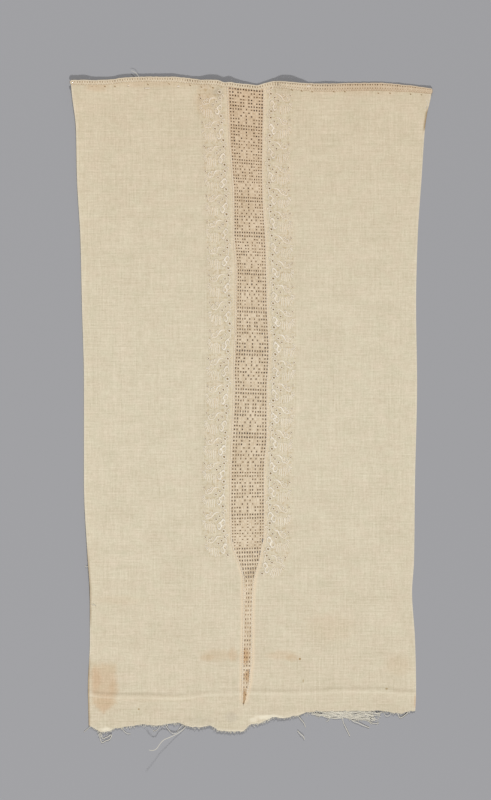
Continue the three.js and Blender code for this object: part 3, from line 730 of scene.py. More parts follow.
def copies(groups, seed=1):
    """Copies of small meshes as one mesh, each put in place by a matrix.

    Each group is a shape, its places, and the least and most tone that a copy may have.
    """
    points, faces, tones, lows = [], [], [], []
    tone = np.random.default_rng(seed)
    first = 0
    for shape, places, (darkest, lightest) in groups:
        corners = np.array([(*v.co, 1) for v in shape.vertices])
        low = (corners[:, 2].max() - corners[:, 2]) / np.ptp(corners[:, 2])
        lows.append(np.tile(low, len(places)))
        sides = [list(f.vertices) for f in shape.polygons]
        for place in places:
            faces += [[v + first for v in side] for side in sides]
            first += len(corners)
        points.append(np.einsum("kij,nj->kni", np.array(places), corners)[..., :3].reshape(-1, 3))
        tones.append(np.repeat(tone.uniform(darkest, lightest, len(places)), len(corners)))
    joined = bpy.data.meshes.new("copies")
    joined.from_pydata(np.concatenate(points).tolist(), [], faces)
    marked(joined, "tone", np.concatenate(tones))
    marked(joined, "low", np.concatenate(lows))
    return joined


def bar_between(start, end, z, stretch=1.0, thick=1.0):
    """The matrix that lays a bar of length 1 between two points."""
    span = Vector((end[0] - start[0], end[1] - start[1]))
    turn = math.atan2(span.y, span.x) - math.pi / 2
    middle = Matrix.Translation(((start[0] + end[0]) / 2, (start[1] + end[1]) / 2, z))
    return middle @ Matrix.Rotation(turn, 4, "Z") @ Matrix.Diagonal((thick, span.length * stretch, 1, 1))


def lace_rows():
    """Every row of cells from the neck down: the height of its middle, and its chart."""
    full = "o" * LACE_COLUMNS
    rows = [(BARS[0][1], full)]
    for i, (above, below) in enumerate(zip(BARS, BARS[1:])):
        chart = STAR_CHARTS[i % 2]
        step = (above[1] - below[0]) / (len(chart) + 1)
        rows += [(above[1] - step * (k + 1), line) for k, line in enumerate(chart)]
        rows += [(below[0], full), (below[1], full)]
    rows += [(y, full) for y in TAPER_ROWS]
    y = TAPER_ROWS[-1] - TAIL_PITCH
    while y > TAIL_END:
        rows.append((y, full))
        y -= TAIL_PITCH
    return rows


def lace_point(column, y):
    """The place of a column of cells at one height, with the rows' slant."""
    left, right = along(LATTICE, "y", y, "left"), along(LATTICE, "y", y, "right")
    share = column / (LACE_COLUMNS - 1)
    x = left + (right - left) * share + WAVER[0] * math.sin(2.3 * column + 1.1 * y)
    return x, y - along(TILT, "y", y, "drop") * share + WAVER[1] * math.sin(1.7 * column + 0.9 * y)


rows = lace_rows()
middles = [y for y, chart in rows]
between = [(a + b) / 2 for a, b in zip(middles, middles[1:])]
edges = [middles[0] + END_REACH[0], *between, middles[-1] - END_REACH[1]]
inside_cells = []
for y, chart in rows:
    left, right = along(OPENING, "y", y, "left"), along(OPENING, "y", y, "right")
    xs = [lace_point(c, y)[0] for c in range(LACE_COLUMNS)]
    inside_cells.append([left + 0.2 < x < right - 0.2 for x in xs])
treble_places, chain_places, fibre_places = [], [], []
hand = random.Random(9)
for i, (y, chart) in enumerate(rows):
    upper, lower = edges[i], edges[i + 1]
    thick = TAIL_STITCH if y < TAIL_TOP else 1
    for c in range(LACE_COLUMNS + 1):
        if any(inside_cells[i][max(c - 1, 0):c + 1]):
            ends = lace_point(c - 0.5, upper), lace_point(c - 0.5, lower)
            treble_places.append(bar_between(*ends, TREBLE_RISE, 1.05, thick * hand.uniform(*STITCH_RANGE)))
        if c < LACE_COLUMNS and inside_cells[i][c]:
            if chart[c] == ".":
                ends = lace_point(c, upper), lace_point(c, lower)
                solid = SOLID_STITCH * hand.uniform(0.9, 1.1)
                treble_places.append(bar_between(*ends, SOLID_RISE, 1.05, solid))
            for height in (upper, lower) if i == 0 else (lower,):
                ends = lace_point(c - 0.55, height), lace_point(c + 0.55, height)
                chain_places.append(bar_between(*ends, CHAIN_RISE, 1, thick * hand.uniform(*STITCH_RANGE)))
            for k in range(1 if y > WORN_BELOW else 3):
                start = lace_point(c + hand.uniform(-0.5, 0.5), upper)
                end = lace_point(c + hand.uniform(-0.5, 0.5), lower)
                fibre_places.append(bar_between(start, end, 0.1 + 0.08 * k, 1))

# Mercerised crochet cotton gone beige: smoother than the cloth, a little pink, and each stitch
# takes the light a little differently.
RUSTY = "#F6EFEA"
LACE_DARK = "#CEBC9F"
LACE_LIGHT = "#EBDEC6"
LACE_DUST_AND_SHADE = "#D8B48C"
FIBRE_GRAIN = 0.5
LACE_CLOUD = 14
RUST = "#E6D2BC"
LACE_RUST = [((-4.3, -151), (4.5, 7), 1.0), ((-2, -163), (3.5, 5), 0.9), ((-4.2, -176), (4, 7), 1.0)]


def thread_finish(name, dark, light, dust_and_shade=None, aged=0.0, reddened=None, stains=()):
    """A spun thread's finish: dusty low down with painted shade, yellowed to the neck, reddened along x or in
    stains.
    """
    finish, tree, shader, spot = bare_finish(name, 0.8, 0.25)
    tone = node(tree, "ShaderNodeAttribute", attribute_name="tone").outputs["Fac"]
    fibre = streaks(spot, (FIBRE_GRAIN, FIBRE_GRAIN), depth=FIBRE_GRAIN)
    cloud = streaks(spot, (LACE_CLOUD, LACE_CLOUD), detail=1)
    mottle = weighted((tone, 0.5), (fibre, 0.5), (cloud, 0.8))
    spun = node(tree, "ShaderNodeMix", {"Factor": mottle, "A": linear(dark), "B": linear(light)},
                data_type="RGBA").outputs["Result"]
    # Low down on each stitch, a brown tint stands for dust and is painted shade for the hollows between the
    # threads.
    if dust_and_shade:
        low = node(tree, "ShaderNodeAttribute", attribute_name="low").outputs["Fac"]
        spun = tinted(spun, dust_and_shade, low)
    if aged:
        spun = tinted(spun, YELLOWED, towards(spot, 200), aged)
    if reddened:
        across = node(tree, "ShaderNodeSeparateXYZ", {"Vector": spot}).outputs["X"]
        bounds = {"Value": across, "From Min": reddened[0] * MM, "From Max": reddened[1] * MM}
        right = node(tree, "ShaderNodeMapRange", bounds).outputs[0]
        spun = tinted(spun, RUSTY, right)
    spun = blotted(spot, spun, RUST, stains)
    tree.links.new(spun, shader.inputs["Base Color"])
    return finish


lace_finish = thread_finish("beige_crochet_cotton", LACE_DARK, LACE_LIGHT, dust_and_shade=LACE_DUST_AND_SHADE, aged=1.0,
                            stains=LACE_RUST)
treble = wound_bar(1, TREBLE_WIDTH, LACE_HEIGHT, 2, foot=LACE_FOOT)
chain = wound_bar(1, CHAIN_WIDTH, LACE_HEIGHT, 2, foot=LACE_FOOT)
fibre = wound_bar(1, FIBRE_WIDTH, 0.1, 1, sides=4)
treble_mesh = settled(copies([(treble, treble_places, (-0.1, 1.25))], seed=11))
chain_mesh = settled(copies([(chain, chain_places, (-0.1, 1.25))], seed=12))
fibre_mesh = settled(copies([(fibre, fibre_places, (0, 0.3))], seed=14))
trebles = placed("insertion_trebles", treble_mesh, lace_finish)
placed("insertion_chains", chain_mesh, lace_finish)
placed("insertion_fibres", fibre_mesh, lace_finish)
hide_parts("crochet_insertion")


# Slit hems. The two raw edges of the slit are rolled under by hand, and whipped over with the
# thread that joins them to the insertion.
HEM_TOP = 189.5
HEM_POINTS = 250
HEM_RADIUS = 0.5
HEM_FLATNESS = 0.5
WHIP_SPACING = 1.3
WHIP_WIDTH = 0.5
WHIP_HEIGHT = 0.14
# The hems have the cloth's finish, without the painted shade and highlight of its crease and the painted
# highlight of its torn rim, which lie this far away.
FAR_AWAY = 20.0


def threads(routes, radius, sides=6, smooth=3):
    """Round threads along routes of points, with closed ends, as one mesh.

    A point may have a fourth number, its share of the radius.
    """
    line = bpy.data.curves.new("threads", "CURVE")
    line.dimensions = "3D"
    line.bevel_depth = radius
    line.bevel_resolution = sides // 2 - 2
    line.use_fill_caps = True
    line.resolution_u = smooth
    for route in routes:
        spline = line.splines.new("BEZIER")
        spline.bezier_points.add(len(route) - 1)
        for bend, point in zip(spline.bezier_points, route):
            bend.co = point[:3]
            bend.radius = point[3] if len(point) > 3 else 1
            bend.handle_left_type = bend.handle_right_type = "AUTO"
    holder = bpy.data.objects.new("threads", line)
    mesh = bpy.data.meshes.new_from_object(holder)
    bpy.data.objects.remove(holder)
    bpy.data.curves.remove(line)
    return mesh


hem_routes, whip_places = [], []
for half, outward in HALVES:
    heights = np.linspace(HEM_TOP, OPENING_END + 1, HEM_POINTS)
    middles = along(OPENING, "y", heights, half) + outward * HEM_RADIUS
    hem_routes.append([(x, y, HEM_RADIUS * 1.1) for x, y in zip(middles, heights)])
    for y in np.arange(HEM_TOP - 0.5, OPENING_END + 2, -WHIP_SPACING):
        x = along(OPENING, "y", y, half) + outward * HEM_RADIUS * 0.8
        whip_places.append(bar_between((x - 0.6 * outward, y - 0.3), (x + 0.6 * outward, y + 0.3),
                                       HEM_RADIUS * HEM_FLATNESS * 2.1))
hem_mesh = threads(hem_routes, HEM_RADIUS, sides=8, smooth=1)
hem_mesh.transform(Matrix.Diagonal((1, 1, HEM_FLATNESS, 1)))
for name, value in (("hemmed", 1), ("from_crease", FAR_AWAY), ("from_tear", FAR_AWAY)):
    marked(hem_mesh, name, np.full(len(hem_mesh.vertices), value))
hems = placed("slit_hems", settled(hem_mesh), cloth_finish)
whip = wound_bar(1, WHIP_WIDTH, WHIP_HEIGHT, 1)
whip_mesh = settled(copies([(whip, whip_places, (0, 0.5))], seed=13))

# Below the last cells, the slit's two hems are drawn together with three passes of beige thread.
LACING = {
    "y": [-171.3, -173.2, -174.4, -175.6, -176.8, -178.2, -179.8],
    "left": [-4.7, -4.5, -4.75, -4.55, -4.8, -4.7, -4.9],
    "middle": [-4.0, -3.7, -4.2, -3.9, -4.4, -4.3, -4.8],
    "right": [-2.9, -3.5, -3.1, -3.8, -3.6, -4.4, -4.8],
}
LACING_RADIUS = 0.42
LACING_RISE = 0.35
AS_IT_LIES = [Matrix.Identity(4)]
passes = [LACING[way] for way in ("left", "middle", "right")]
lacing_routes = [[(x, y, LACING_RISE) for x, y in zip(across, LACING["y"])] for across in passes]
laced = threads(lacing_routes, LACING_RADIUS, smooth=4)
lacing_mesh = settled(copies([(laced, AS_IT_LIES, (0.3, 0.3))], seed=15))
placed("slit_lacing", lacing_mesh, lace_finish)

# Glossy white embroidery cotton, a little lighter than the cloth it is worked on.
WHITEWORK_DARK = "#E6DBC7"
WHITEWORK_LIGHT = "#FCF5E7"
WHITEWORK_DUST_AND_SHADE = "#EDE3D2"
white_finish = thread_finish("white_embroidery_cotton", WHITEWORK_DARK, WHITEWORK_LIGHT,
                             dust_and_shade=WHITEWORK_DUST_AND_SHADE, aged=0.7)
whipping = placed("hem_whipping", whip_mesh, white_finish)


# Whitework. Embroidery worked by hand through the cloth in thick soft cotton, in two mirrored
# bands. Each repeat has overcast eyelets, two ringed petals, a scroll with two leaves, and a fan
# of padded satin ribs.
EYELET_RADIUS = 0.8
EYELET_CORD = 0.3
# The rings of a repeat: middle, length along the way that its thick tip points, width, the way of
# the tip, and how light it is worked.
PETALS = {
    "out": [0.5, 2.5, -1.3, 6.9, 8.8],
    "down": [10.8, 12.9, 3.1, 5.0, 6.4],
    "long": [1.6, 1.65, 0.95, 0.95, 1.0],
    "wide": [1.1, 1.05, 0.75, 0.75, 0.8],
    "tip": [98, -98, 125, 15, 35],
    "light": [0.6, 0.5, 0.5, 0.45, 0.4],
}
PETAL_RADIUS = 1.05
PETAL_CORD = 0.36
# The thick satin stroke that runs through both petals, from the tip of one to the tip of the other.
PETAL_STROKE = {
    "out": [0.1, 1.1, 2.1, 1.7, 1.0, 1.5, 2.2],
    "down": [8.8, 9.8, 10.9, 11.8, 12.7, 13.8, 15.0],
    "thick": [1.3, 0.6, 1.25, 0.6, 1.25, 0.6, 1.2],
}
STROKE_RADIUS = 0.48
STITCH_FLATNESS = 0.55
# The scroll's line, and how thick it is worked at each place.
SCROLL = {
    "out": [2.2, 4, 5.2, 6.2, 7.0, 8.4, 10, 10.6, 10.9],
    "down": [4.0, 3.9, 4.3, 5.8, 7.2, 7.8, 7.8, 6.9, 5.4],
    "thick": [0.7, 1.1, 1.5, 1.1, 0.9, 0.9, 0.9, 0.8, 0.6],
}
STEM = {"out": [-0.45, -0.6, -0.55, -0.2], "down": [5.0, 6.2, 7.4, 8.6], "thick": [1, 1, 1, 1]}
SCROLL_RADIUS = 0.36
STEM_RADIUS = 0.24
# The satin ribs of the fan, from where each starts to where it ends.
FAN = {
    "start_out": [5.4, 6.4, 7.4, 8.4, 9.3, 10.1, 10.6, 10.8, 10.8, 10.7],
    "start_down": [11.5, 11.1, 11.0, 11.0, 11.2, 11.2, 10.8, 10.2, 9.6, 9.0],
    "end_out": [5.1, 6.4, 7.7, 9.0, 10.2, 11.3, 12.1, 12.6, 12.8, 12.9],
    "end_down": [17.0, 17.3, 17.1, 16.7, 15.9, 14.8, 13.4, 11.9, 10.5, 9.3],
}
RIB_WIDTH = 0.6
WHITEWORK_RISE = 0.38
# No two repeats are worked alike: a stitch strays by up to this much, and varies in size by this.
STRAY = 0.3
RIB_STRAY = {"start": (0.2, 0.4), "end": (0.3, 0.5)}
TIP_STRAY = 12
UNEVEN = {"light": (0.2, 1.0), "eyelet": (0.92, 1.08), "petal": (0.9, 1.1), "line": (0.8, 1.2),
          "rib": (0.85, 1.1)}


def stitched_ring(radius, cord, steps, uneven=0.0, sides=5):
    """A ring of overcast thread, swelling with each stitch, and thicker on its +x side."""
    ring = bmesh.new()
    upright = Matrix.Translation((radius, 0, 0)) @ Matrix.Rotation(math.pi / 2, 4, "X")
    bmesh.ops.create_circle(ring, segments=sides, radius=cord, matrix=upright)
    bmesh.ops.spin(ring, geom=ring.verts[:] + ring.edges[:], cent=(0, 0, 0), axis=(0, 0, 1),
                   angle=2 * math.pi, steps=steps, use_merge=True)
    for vert in ring.verts:
        angle = math.atan2(vert.co.y, vert.co.x)
        middle = Vector((radius * math.cos(angle), radius * math.sin(angle), 0))
        stitch = 1.0 if round(angle / (2 * math.pi) * steps) % 2 else 0.8
        vert.co = middle + (vert.co - middle) * stitch * (1 + uneven * math.cos(angle))
        vert.co.z *= STITCH_FLATNESS
    bmesh.ops.recalc_face_normals(ring, faces=ring.faces)
    return finished(ring, "stitched_ring")


def ring_place(side, i, out, down, across, along_it, turn):
    """The matrix that lays a ring in a repeat, turned the other way round on the left band."""
    turned = math.radians(turn if side == 1 else 180 - turn)
    x, y = band_point(side, i, out, down)
    return (Matrix.Translation((x, y, WHITEWORK_RISE)) @ Matrix.Rotation(turned, 4, "Z")
            @ Matrix.Diagonal((across, along_it, 1, 1)))


def strayed(hand, out, down, across=STRAY, along_it=STRAY):
    """A place in a repeat, moved as far as a stitch strays."""
    return out + hand.uniform(-across, across), down + hand.uniform(-along_it, along_it)


eyelet_ring = stitched_ring(EYELET_RADIUS, EYELET_CORD, 10)
petal_ring = stitched_ring(PETAL_RADIUS, PETAL_CORD, 20, uneven=0.35)
rib = wound_bar(1, RIB_WIDTH, 0.4, 5)
pressed_flat = [Matrix.Translation((0, 0, WHITEWORK_RISE)) @ Matrix.Diagonal((1, 1, STITCH_FLATNESS, 1))
                @ Matrix.Translation((0, 0, -WHITEWORK_RISE))]
for side, name in ((-1, "whitework_left"), (1, "whitework_right")):
    hand = random.Random(20 + side)
    eyelets, petals, ribs, scrolls, stems = [], [], [], [], []
    for i in range(len(BANDS[side]["y"]) - 1):
        lit = hand.uniform(*UNEVEN["light"])
        for out, down, size in zip(*EYELETS.values()):
            size *= hand.uniform(*UNEVEN["eyelet"])
            eyelets.append(ring_place(side, i, out, down, size, size, 0))
        for out, down, length, width, tip, light in zip(*PETALS.values()):
            place = strayed(hand, out, down)
            length *= hand.uniform(*UNEVEN["petal"])
            width *= hand.uniform(*UNEVEN["petal"])
            place = ring_place(side, i, *place, length, width, tip + hand.uniform(-TIP_STRAY, TIP_STRAY))
            petals.append((petal_ring, [place], (light * lit, light * lit)))
        strokes = []
        for lines, route in ((scrolls, SCROLL), (stems, STEM), (strokes, PETAL_STROKE)):
            points = []
            for out, down, thick in zip(*route.values()):
                x, y = band_point(side, i, *strayed(hand, out, down))
                points.append((x, y, WHITEWORK_RISE, thick * hand.uniform(*UNEVEN["line"])))
            lines.append(points)
        petals.append((threads(strokes, STROKE_RADIUS), pressed_flat, (lit, lit)))
        for start_out, start_down, end_out, end_down in zip(*FAN.values()):
            start = band_point(side, i, *strayed(hand, start_out, start_down, *RIB_STRAY["start"]))
            end = band_point(side, i, *strayed(hand, end_out, end_down, *RIB_STRAY["end"]))
            ribs.append(bar_between(start, end, WHITEWORK_RISE - 0.05, 1, hand.uniform(*UNEVEN["rib"])))
    eyelets.append(Matrix.Translation((BANDS[side]["x"][-1], BANDS[side]["y"][-1], WHITEWORK_RISE)))
    stitches = [(eyelet_ring, eyelets, (0, 0.35)), *petals, (rib, ribs, (0, 0.5)),
                (threads(scrolls, SCROLL_RADIUS), pressed_flat, (0.5, 0.5)),
                (threads(stems, STEM_RADIUS), pressed_flat, (0.5, 0.5))]
    band_mesh = settled(copies(stitches, seed=30 + side))
    placed(name, band_mesh, white_finish)


# Neck edging. A narrow crocheted border of cream cotton along the neck: a firm outer cord, posts
# with open cells between them and a chain that is sewn to the cloth, with a second row of cells on
# its right half.
POST_PITCH = 1.5
POST_WIDTH = 1.28
CHAIN_THICKNESS = 1.3
EDGING_HEIGHT = 0.45
EDGING_RISE = 0.35
EDGING_FOOT = 1.6
# The posts of the right half and above the slit are worked looser, so that their cells are open.
LOOSE_WORK = 0.85
ABOVE_SLIT = (-13, 7)
CORD_RADIUS = 0.42
SECOND_ROW_FROM = 15
EDGING_END = 108.1
# How far a post leans to one side, how much the posts vary, and how far the outer cord wavers.
POST_LEAN = 0.2
POST_RANGE = (0.85, 1.15)
CORD_WAVER = 0.12

post_places, edging_chains = [], []
hand = random.Random(41)
across = np.arange(-EDGING_END, EDGING_END, POST_PITCH)
outer_line = [(x, along(NECK, "x", x, "y") - CORD_RADIUS) for x in across]
inner_line = [(x, cloth_top(x) + 0.25) for x in across]
middle_line = [(x, (y + inner[1]) / 2) for (x, y), inner in zip(outer_line, inner_line)]
for (x, top), (x, low) in zip(outer_line, inner_line):
    lean = hand.uniform(-POST_LEAN, POST_LEAN)
    opened = x > SECOND_ROW_FROM or ABOVE_SLIT[0] < x < ABOVE_SLIT[1]
    thick = hand.uniform(*POST_RANGE) * (LOOSE_WORK if opened else 1)
    post_places.append(bar_between((x - lean, low), (x + lean, top), EDGING_RISE, 1.05, thick))
for line, start in ((inner_line, -EDGING_END - 1), (middle_line, SECOND_ROW_FROM)):
    for (x, y), neighbour in zip(line, line[1:]):
        if x > start:
            edging_chains.append(bar_between((x, y), neighbour, EDGING_RISE, 1.15))
cord_points = [(x, y + hand.uniform(-CORD_WAVER, CORD_WAVER), CORD_RADIUS) for x, y in outer_line]
border = threads([cord_points], CORD_RADIUS, smooth=2)
post = wound_bar(1, POST_WIDTH, EDGING_HEIGHT, 2, foot=EDGING_FOOT)
edging_chain = wound_bar(1, CHAIN_THICKNESS, EDGING_HEIGHT, 1, foot=EDGING_FOOT)
edging_mesh = settled(copies([(post, post_places, (0.1, 0.8)), (edging_chain, edging_chains, (0, 1)),
                              (border, AS_IT_LIES, (0.6, 0.6))], seed=42))

# Cream crochet cotton, yellowed more than the cloth, and redder over its right half.
EDGING_DARK = "#D2C1A6"
EDGING_LIGHT = "#E8DBC3"
EDGING_DUST_AND_SHADE = "#D6BC99"
edging_finish = thread_finish("cream_crochet_cotton", EDGING_DARK, EDGING_LIGHT, dust_and_shade=EDGING_DUST_AND_SHADE,
                              reddened=(20, 60))
edging = placed("neck_edging_worked", edging_mesh, edging_finish)
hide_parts("neck_edging")


# Tacking stitches. The few short stitches of white thread that are left below the neck edging, from
# when the insert was sewn in by its upper hem.
TACKS = {"x": [-62.4, -73.8, -43.9, 34.3], "y": [189.3, 190.7, 190.4, 190.6],
         "length": [3.6, 1.2, 1.6, 2.4], "thick": [1, 1, 1.5, 1.2]}
TACK_WIDTH = 0.75
TACK_HEIGHT = 0.4
tack_places = [bar_between((x - length / 2, y), (x + length / 2, y + 0.1), 0.5, 1, thick)
               for x, y, length, thick in zip(*TACKS.values())]
tack = wound_bar(1, TACK_WIDTH, TACK_HEIGHT, 2)
tack_mesh = settled(copies([(tack, tack_places, (1.2, 1.6))], seed=51))
tacking = placed("tacking_stitches", tack_mesh, white_finish)


# Torn edge. Warp yarns that lost their weft hang from the tear as a fringe, thickest to the right
# of the slit, and long single yarns have worked loose and curl up off the table.
FRINGE = {
    "x": [-97, 26, 30, 36, 42, 47, 57, 62, 68, 70.7, 73, 76.5, 78.4, 79.8, 84, 97],
    "length": [1.2, 1.2, 1.6, 2.6, 4, 4.8, 4.8, 6, 6, 7.2, 9.4, 8.4, 5.5, 2.2, 1, 0.8],
}
FRINGE_ENDS = (-97, 97)
FRINGE_STEP = 0.4
# How much longer or shorter than the rest a yarn hangs, how far it sways, and how much it lifts.
FRINGE_RANGE = (0.3, 1.25)
SWAY = 0.8
STIR = (-0.2, 0.5)
# Of the warp yarns that hang down, this share shows: few where weft yarns cover them.
SHOWN_UNDER = 0.35
SHOWN_BESIDE = 0.7
# The fringe is matted from here to there by weft yarns that slid down out of the weave. The
# lowest lies this far down the fringe, and the mat thins from its upper height to its lower.
MATTED = (31, 80)
MATTED_LINES = 14
MATTED_THICK = 1.4
MATTED_DOWN = 0.93
MATTED_HEIGHTS = (0.75, 0.35)
MATTED_BEND = 2.2
# Other yarns are swept aside, this far apart and down to the right at these angles.
SWEPT_PITCH = 1.5
SWEPT_SLOPE = (30, 70)
SWEPT_RANGE = (0.5, 1.2)
YARN_RADIUS = 0.13
LOOSE_RADIUS = 0.2
FINE = 0.65
# Each long loose yarn has its thickness as a share of the loose radius, and its way.
LOOSE_YARNS = [
    (1, {"x": [-39.5, -42.3, -45.4, -49.5, -52.8, -54.9, -56.7, -58.8, -60.8],
         "y": [-193.6, -196.2, -198, -199.6, -201, -203.3, -205.8, -206.6, -206],
         "z": [0.8, 1, 1.8, 4.5, 6.4, 6.7, 6.8, 8.8, 12]}),
    (FINE, {"x": [-40.7, -42.6, -44.1, -44.8], "y": [-191.9, -193.8, -196, -197.2],
            "z": [0.9, 0.8, 0.5, 0.3]}),
    (FINE, {"x": [-49.6, -52, -54.8, -55.6, -57.6, -58.9, -58.6],
            "y": [-191.6, -192.3, -192.5, -194.2, -196, -196, -195.4],
            "z": [0.9, 0.9, 0.6, 0.4, 0.3, 0.4, 0.6]}),
    (FINE, {"x": [-52, -49.6, -47.8, -46.6, -45.4], "y": [-192, -195.4, -197.2, -197.8, -197.5],
            "z": [0.7, 0.9, 0.8, 0.6, 0.5]}),
    (FINE, {"x": [-78, -77.6, -74.8, -72.4], "y": [-193.6, -194.6, -197.5, -197.9],
            "z": [0.6, 0.7, 0.6, 0.4]}),
    (FINE, {"x": [-96, -96.9, -100.5], "y": [-191.8, -193.4, -196.7], "z": [0.4, 0.4, 0.3]}),
    (FINE, {"x": [-93.6, -90.9, -92.4, -90.2, -91.8, -89.9],
            "y": [-193.8, -196.1, -196.5, -198, -198.3, -199.4], "z": [0.9, 1.1, 1.2, 1.3, 1.3, 1.2]}),
    (1, {"x": [-90.9, -90.9, -90.3, -89.8, -89.2, -87.4, -85.2, -84.5, -83.7],
         "y": [-197, -200, -202, -203, -203, -202, -201.2, -200.3, -198.2],
         "z": [1.2, 0.8, 0.5, 0.4, 0.4, 0.5, 0.6, 0.7, 1]}),
    (1, {"x": [-90, -89.5, -88.9, -87.4, -86, -85.4, -84.2],
         "y": [-198, -200.2, -200.8, -200, -199.6, -199, -198.4], "z": [1, 0.6, 0.5, 0.6, 0.6, 0.8, 1]}),
    (1, {"x": [27.6, 28, 29.6, 31.4, 32.4], "y": [-185, -186.7, -189.1, -191.2, -193.9],
         "z": [0.6, 0.7, 0.8, 0.7, 0.4]}),
    (1, {"x": [27.6, 29.6, 31, 31.7], "y": [-196, -198.1, -199.2, -201.1], "z": [0.6, 1.2, 1.1, 0.7]}),
    (FINE, {"x": [47, 46.9, 45.8, 44.8], "y": [-186, -187.9, -190.1, -190.3], "z": [0.5, 0.6, 0.5, 0.4]}),
    (1, {"x": [54.5, 54.9, 56.6, 59], "y": [-187, -190.4, -194.2, -199.1], "z": [0.5, 0.6, 0.8, 0.5]}),
    (1, {"x": [59, 60.4, 63.9, 67.3, 70.7], "y": [-187.6, -189.8, -191.2, -192.8, -194.2],
         "z": [0.5, 0.7, 0.9, 0.8, 0.4]}),
    (1, {"x": [88, 88.3, 89.2, 89.9, 91.6, 94], "y": [-185.3, -187, -188.2, -188.1, -186.9, -185],
         "z": [0.7, 0.5, 0.4, 0.4, 0.5, 0.7]}),
    (FINE, {"x": [79.5, 80, 81.4, 83, 83.2], "y": [-184.8, -186.4, -187.2, -186.4, -184.9],
            "z": [0.6, 0.7, 0.8, 0.7, 0.6]}),
    (FINE, {"x": [-67, -67.6, -69.8, -72], "y": [194.6, 196.2, 198.6, 199.8], "z": [1.8, 2.1, 2.2, 1.6]}),
    (FINE, {"x": [-97.5, -98.4, -99.2, -99.6], "y": [-98.6, -97.4, -97.8, -96.9], "z": [0.5, 0.6, 0.6, 0.4]}),
    (FINE, {"x": [-96.6, -95.6, -94.2, -93.1], "y": [-119.4, -120, -120.4, -121.2],
            "z": [0.6, 0.9, 0.9, 0.7]}),
    (FINE, {"x": [103.4, 104.9, 105.6, 104.8, 103.3], "y": [182.4, 182, 180, 177.8, 177.4],
            "z": [0.5, 0.8, 0.9, 0.8, 0.5]}),
]

hand = random.Random(61)
fringe_routes = []
for x in np.arange(*FRINGE_ENDS, FRINGE_STEP):
    length = along(FRINGE, "x", x, "length") * hand.uniform(*FRINGE_RANGE)
    top, lift = along(TORN_EDGE, "x", x, "y"), along(TORN_EDGE, "x", x, "lift")
    sway = hand.uniform(-SWAY, SWAY) / max(1, length / 2)
    stir = hand.uniform(*STIR)
    under = MATTED[0] < x < MATTED[1]
    if hand.random() > (SHOWN_UNDER if under else SHOWN_BESIDE):
        continue
    start = (x, top + 0.8, 0.2 if under else lift + 0.3)
    middle_z = 0.3 if under else lift * 0.7 + 0.35
    middle = (x + sway * length * 0.4, top - length * 0.5, middle_z + stir * 0.3)
    end = (x + sway * length + hand.uniform(-0.3, 0.3), top - length, middle_z - 0.1 + max(stir, 0))
    fringe_routes.append([start, middle, end])
for line in range(MATTED_LINES):
    share = MATTED_DOWN * line / (MATTED_LINES - 1)
    rest = MATTED_HEIGHTS[0] - (MATTED_HEIGHTS[0] - MATTED_HEIGHTS[1]) * share
    first = MATTED[0] + 6 * share + hand.uniform(0, 12)
    waves = np.arange(first, MATTED[1] - 3 * share - hand.uniform(0, 5), MATTED_BEND)
    heights = along(TORN_EDGE, "x", waves, "y") - share * along(FRINGE, "x", waves, "length")
    fringe_routes.append([(x, y + hand.uniform(-0.25, 0.25), rest + hand.uniform(-0.1, 0.25), MATTED_THICK)
                          for x, y in zip(waves, heights)])
for x in np.arange(MATTED[0] + 3, MATTED[1] - 6, SWEPT_PITCH):
    length = along(FRINGE, "x", x, "length") * hand.uniform(*SWEPT_RANGE)
    top = along(TORN_EDGE, "x", x, "y")
    slope = math.radians(hand.uniform(*SWEPT_SLOPE))
    across, down = length * math.cos(slope), length * math.sin(slope)
    fringe_routes.append([(x + across * share, top - down * share, 0.5 + hand.uniform(-0.1, 0.35))
                          for share in (0, 0.5, 1)])
loose_routes = [[(*point, thick) for point in zip(*way.values())] for thick, way in LOOSE_YARNS]
frayed = threads(fringe_routes, YARN_RADIUS, sides=4)
loose = threads(loose_routes, LOOSE_RADIUS, smooth=5)
fringe_mesh = copies([(frayed, AS_IT_LIES, (0, 1)), (loose, AS_IT_LIES, (0, 1))], seed=62)
fringe_mesh.transform(Matrix.Scale(MM, 4))

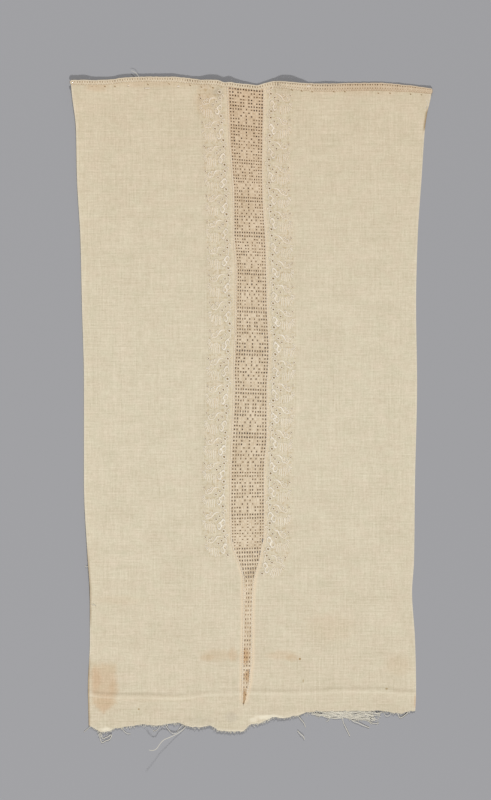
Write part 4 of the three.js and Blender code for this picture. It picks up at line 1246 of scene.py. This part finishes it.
# Loose yarn of the same cloth: fluffy, matt and a little darker than the weave.
YARN_DARK = "#CCC6B7"
YARN_LIGHT = "#E9E4D6"
yarn_finish = thread_finish("loose_cotton_yarn", YARN_DARK, YARN_LIGHT)
fringe = placed("torn_edge_yarns", fringe_mesh, yarn_finish)


# Studio: a plain grey table, two soft lights across the panel from its foot and its neck, and a
# camera that looks straight down, as the panel was photographed.
PIXEL = 0.6
VIEW_MIDDLE = (-3.6, 2.4)
CAMERA_HEIGHT = 1500
SENSOR = 36
FRAME_LENGTH = 800
TABLE_REACH = 6
# Each light has its place in metres and its power. Both turn to a point far out on the left.
LIGHTS = {"light_at_foot": ((0.4, -2.4, 2.4), 86.5), "light_at_neck": ((0.4, 2.5, 2.3), 69.5)}
LIGHT_SIZE = (0.3, 0.22)
LIT_SIDE = (-2.2, 0, 0)
ROOM_LIGHT = 0.193

table_top = bmesh.new()
bmesh.ops.create_grid(table_top, x_segments=1, y_segments=1, size=TABLE_REACH)
floor_mesh = finished(table_top, "table_top")
floor = shown("table_top", floor_mesh)
# Plain grey paper, quite matt.
PAPER_GREY = "#9F9FA2"
floor_finish, tree, shader, spot = bare_finish("grey_paper", 0.95)
shader.inputs["Base Color"].default_value = linear(PAPER_GREY)
floor_mesh.materials.append(floor_finish)

for name, (place, power) in LIGHTS.items():
    lamp = bpy.data.lights.new(name, "AREA")
    lamp.shape = "RECTANGLE"
    lamp.size, lamp.size_y = LIGHT_SIZE
    lamp.energy = power
    holder = shown(name, lamp)
    holder.location = place
    holder.rotation_euler = (Vector(LIT_SIDE) - Vector(place)).to_track_quat("-Z", "Y").to_euler()
world = bpy.data.worlds.new("room")
bpy.context.scene.world = world
world.use_nodes = True
background = world.node_tree.nodes["Background"]
background.inputs["Color"].default_value = (1, 1, 1, 1)
background.inputs["Strength"].default_value = ROOM_LIGHT

camera = bpy.data.cameras.new("camera")
camera.sensor_width = SENSOR
camera.lens = SENSOR * CAMERA_HEIGHT / (FRAME_LENGTH * PIXEL)
camera_holder = shown("camera", camera)
camera_holder.location = (VIEW_MIDDLE[0] * MM, VIEW_MIDDLE[1] * MM, CAMERA_HEIGHT * MM)
bpy.context.scene.camera = camera_holder
bpy.context.scene.view_settings.view_transform = "Standard"
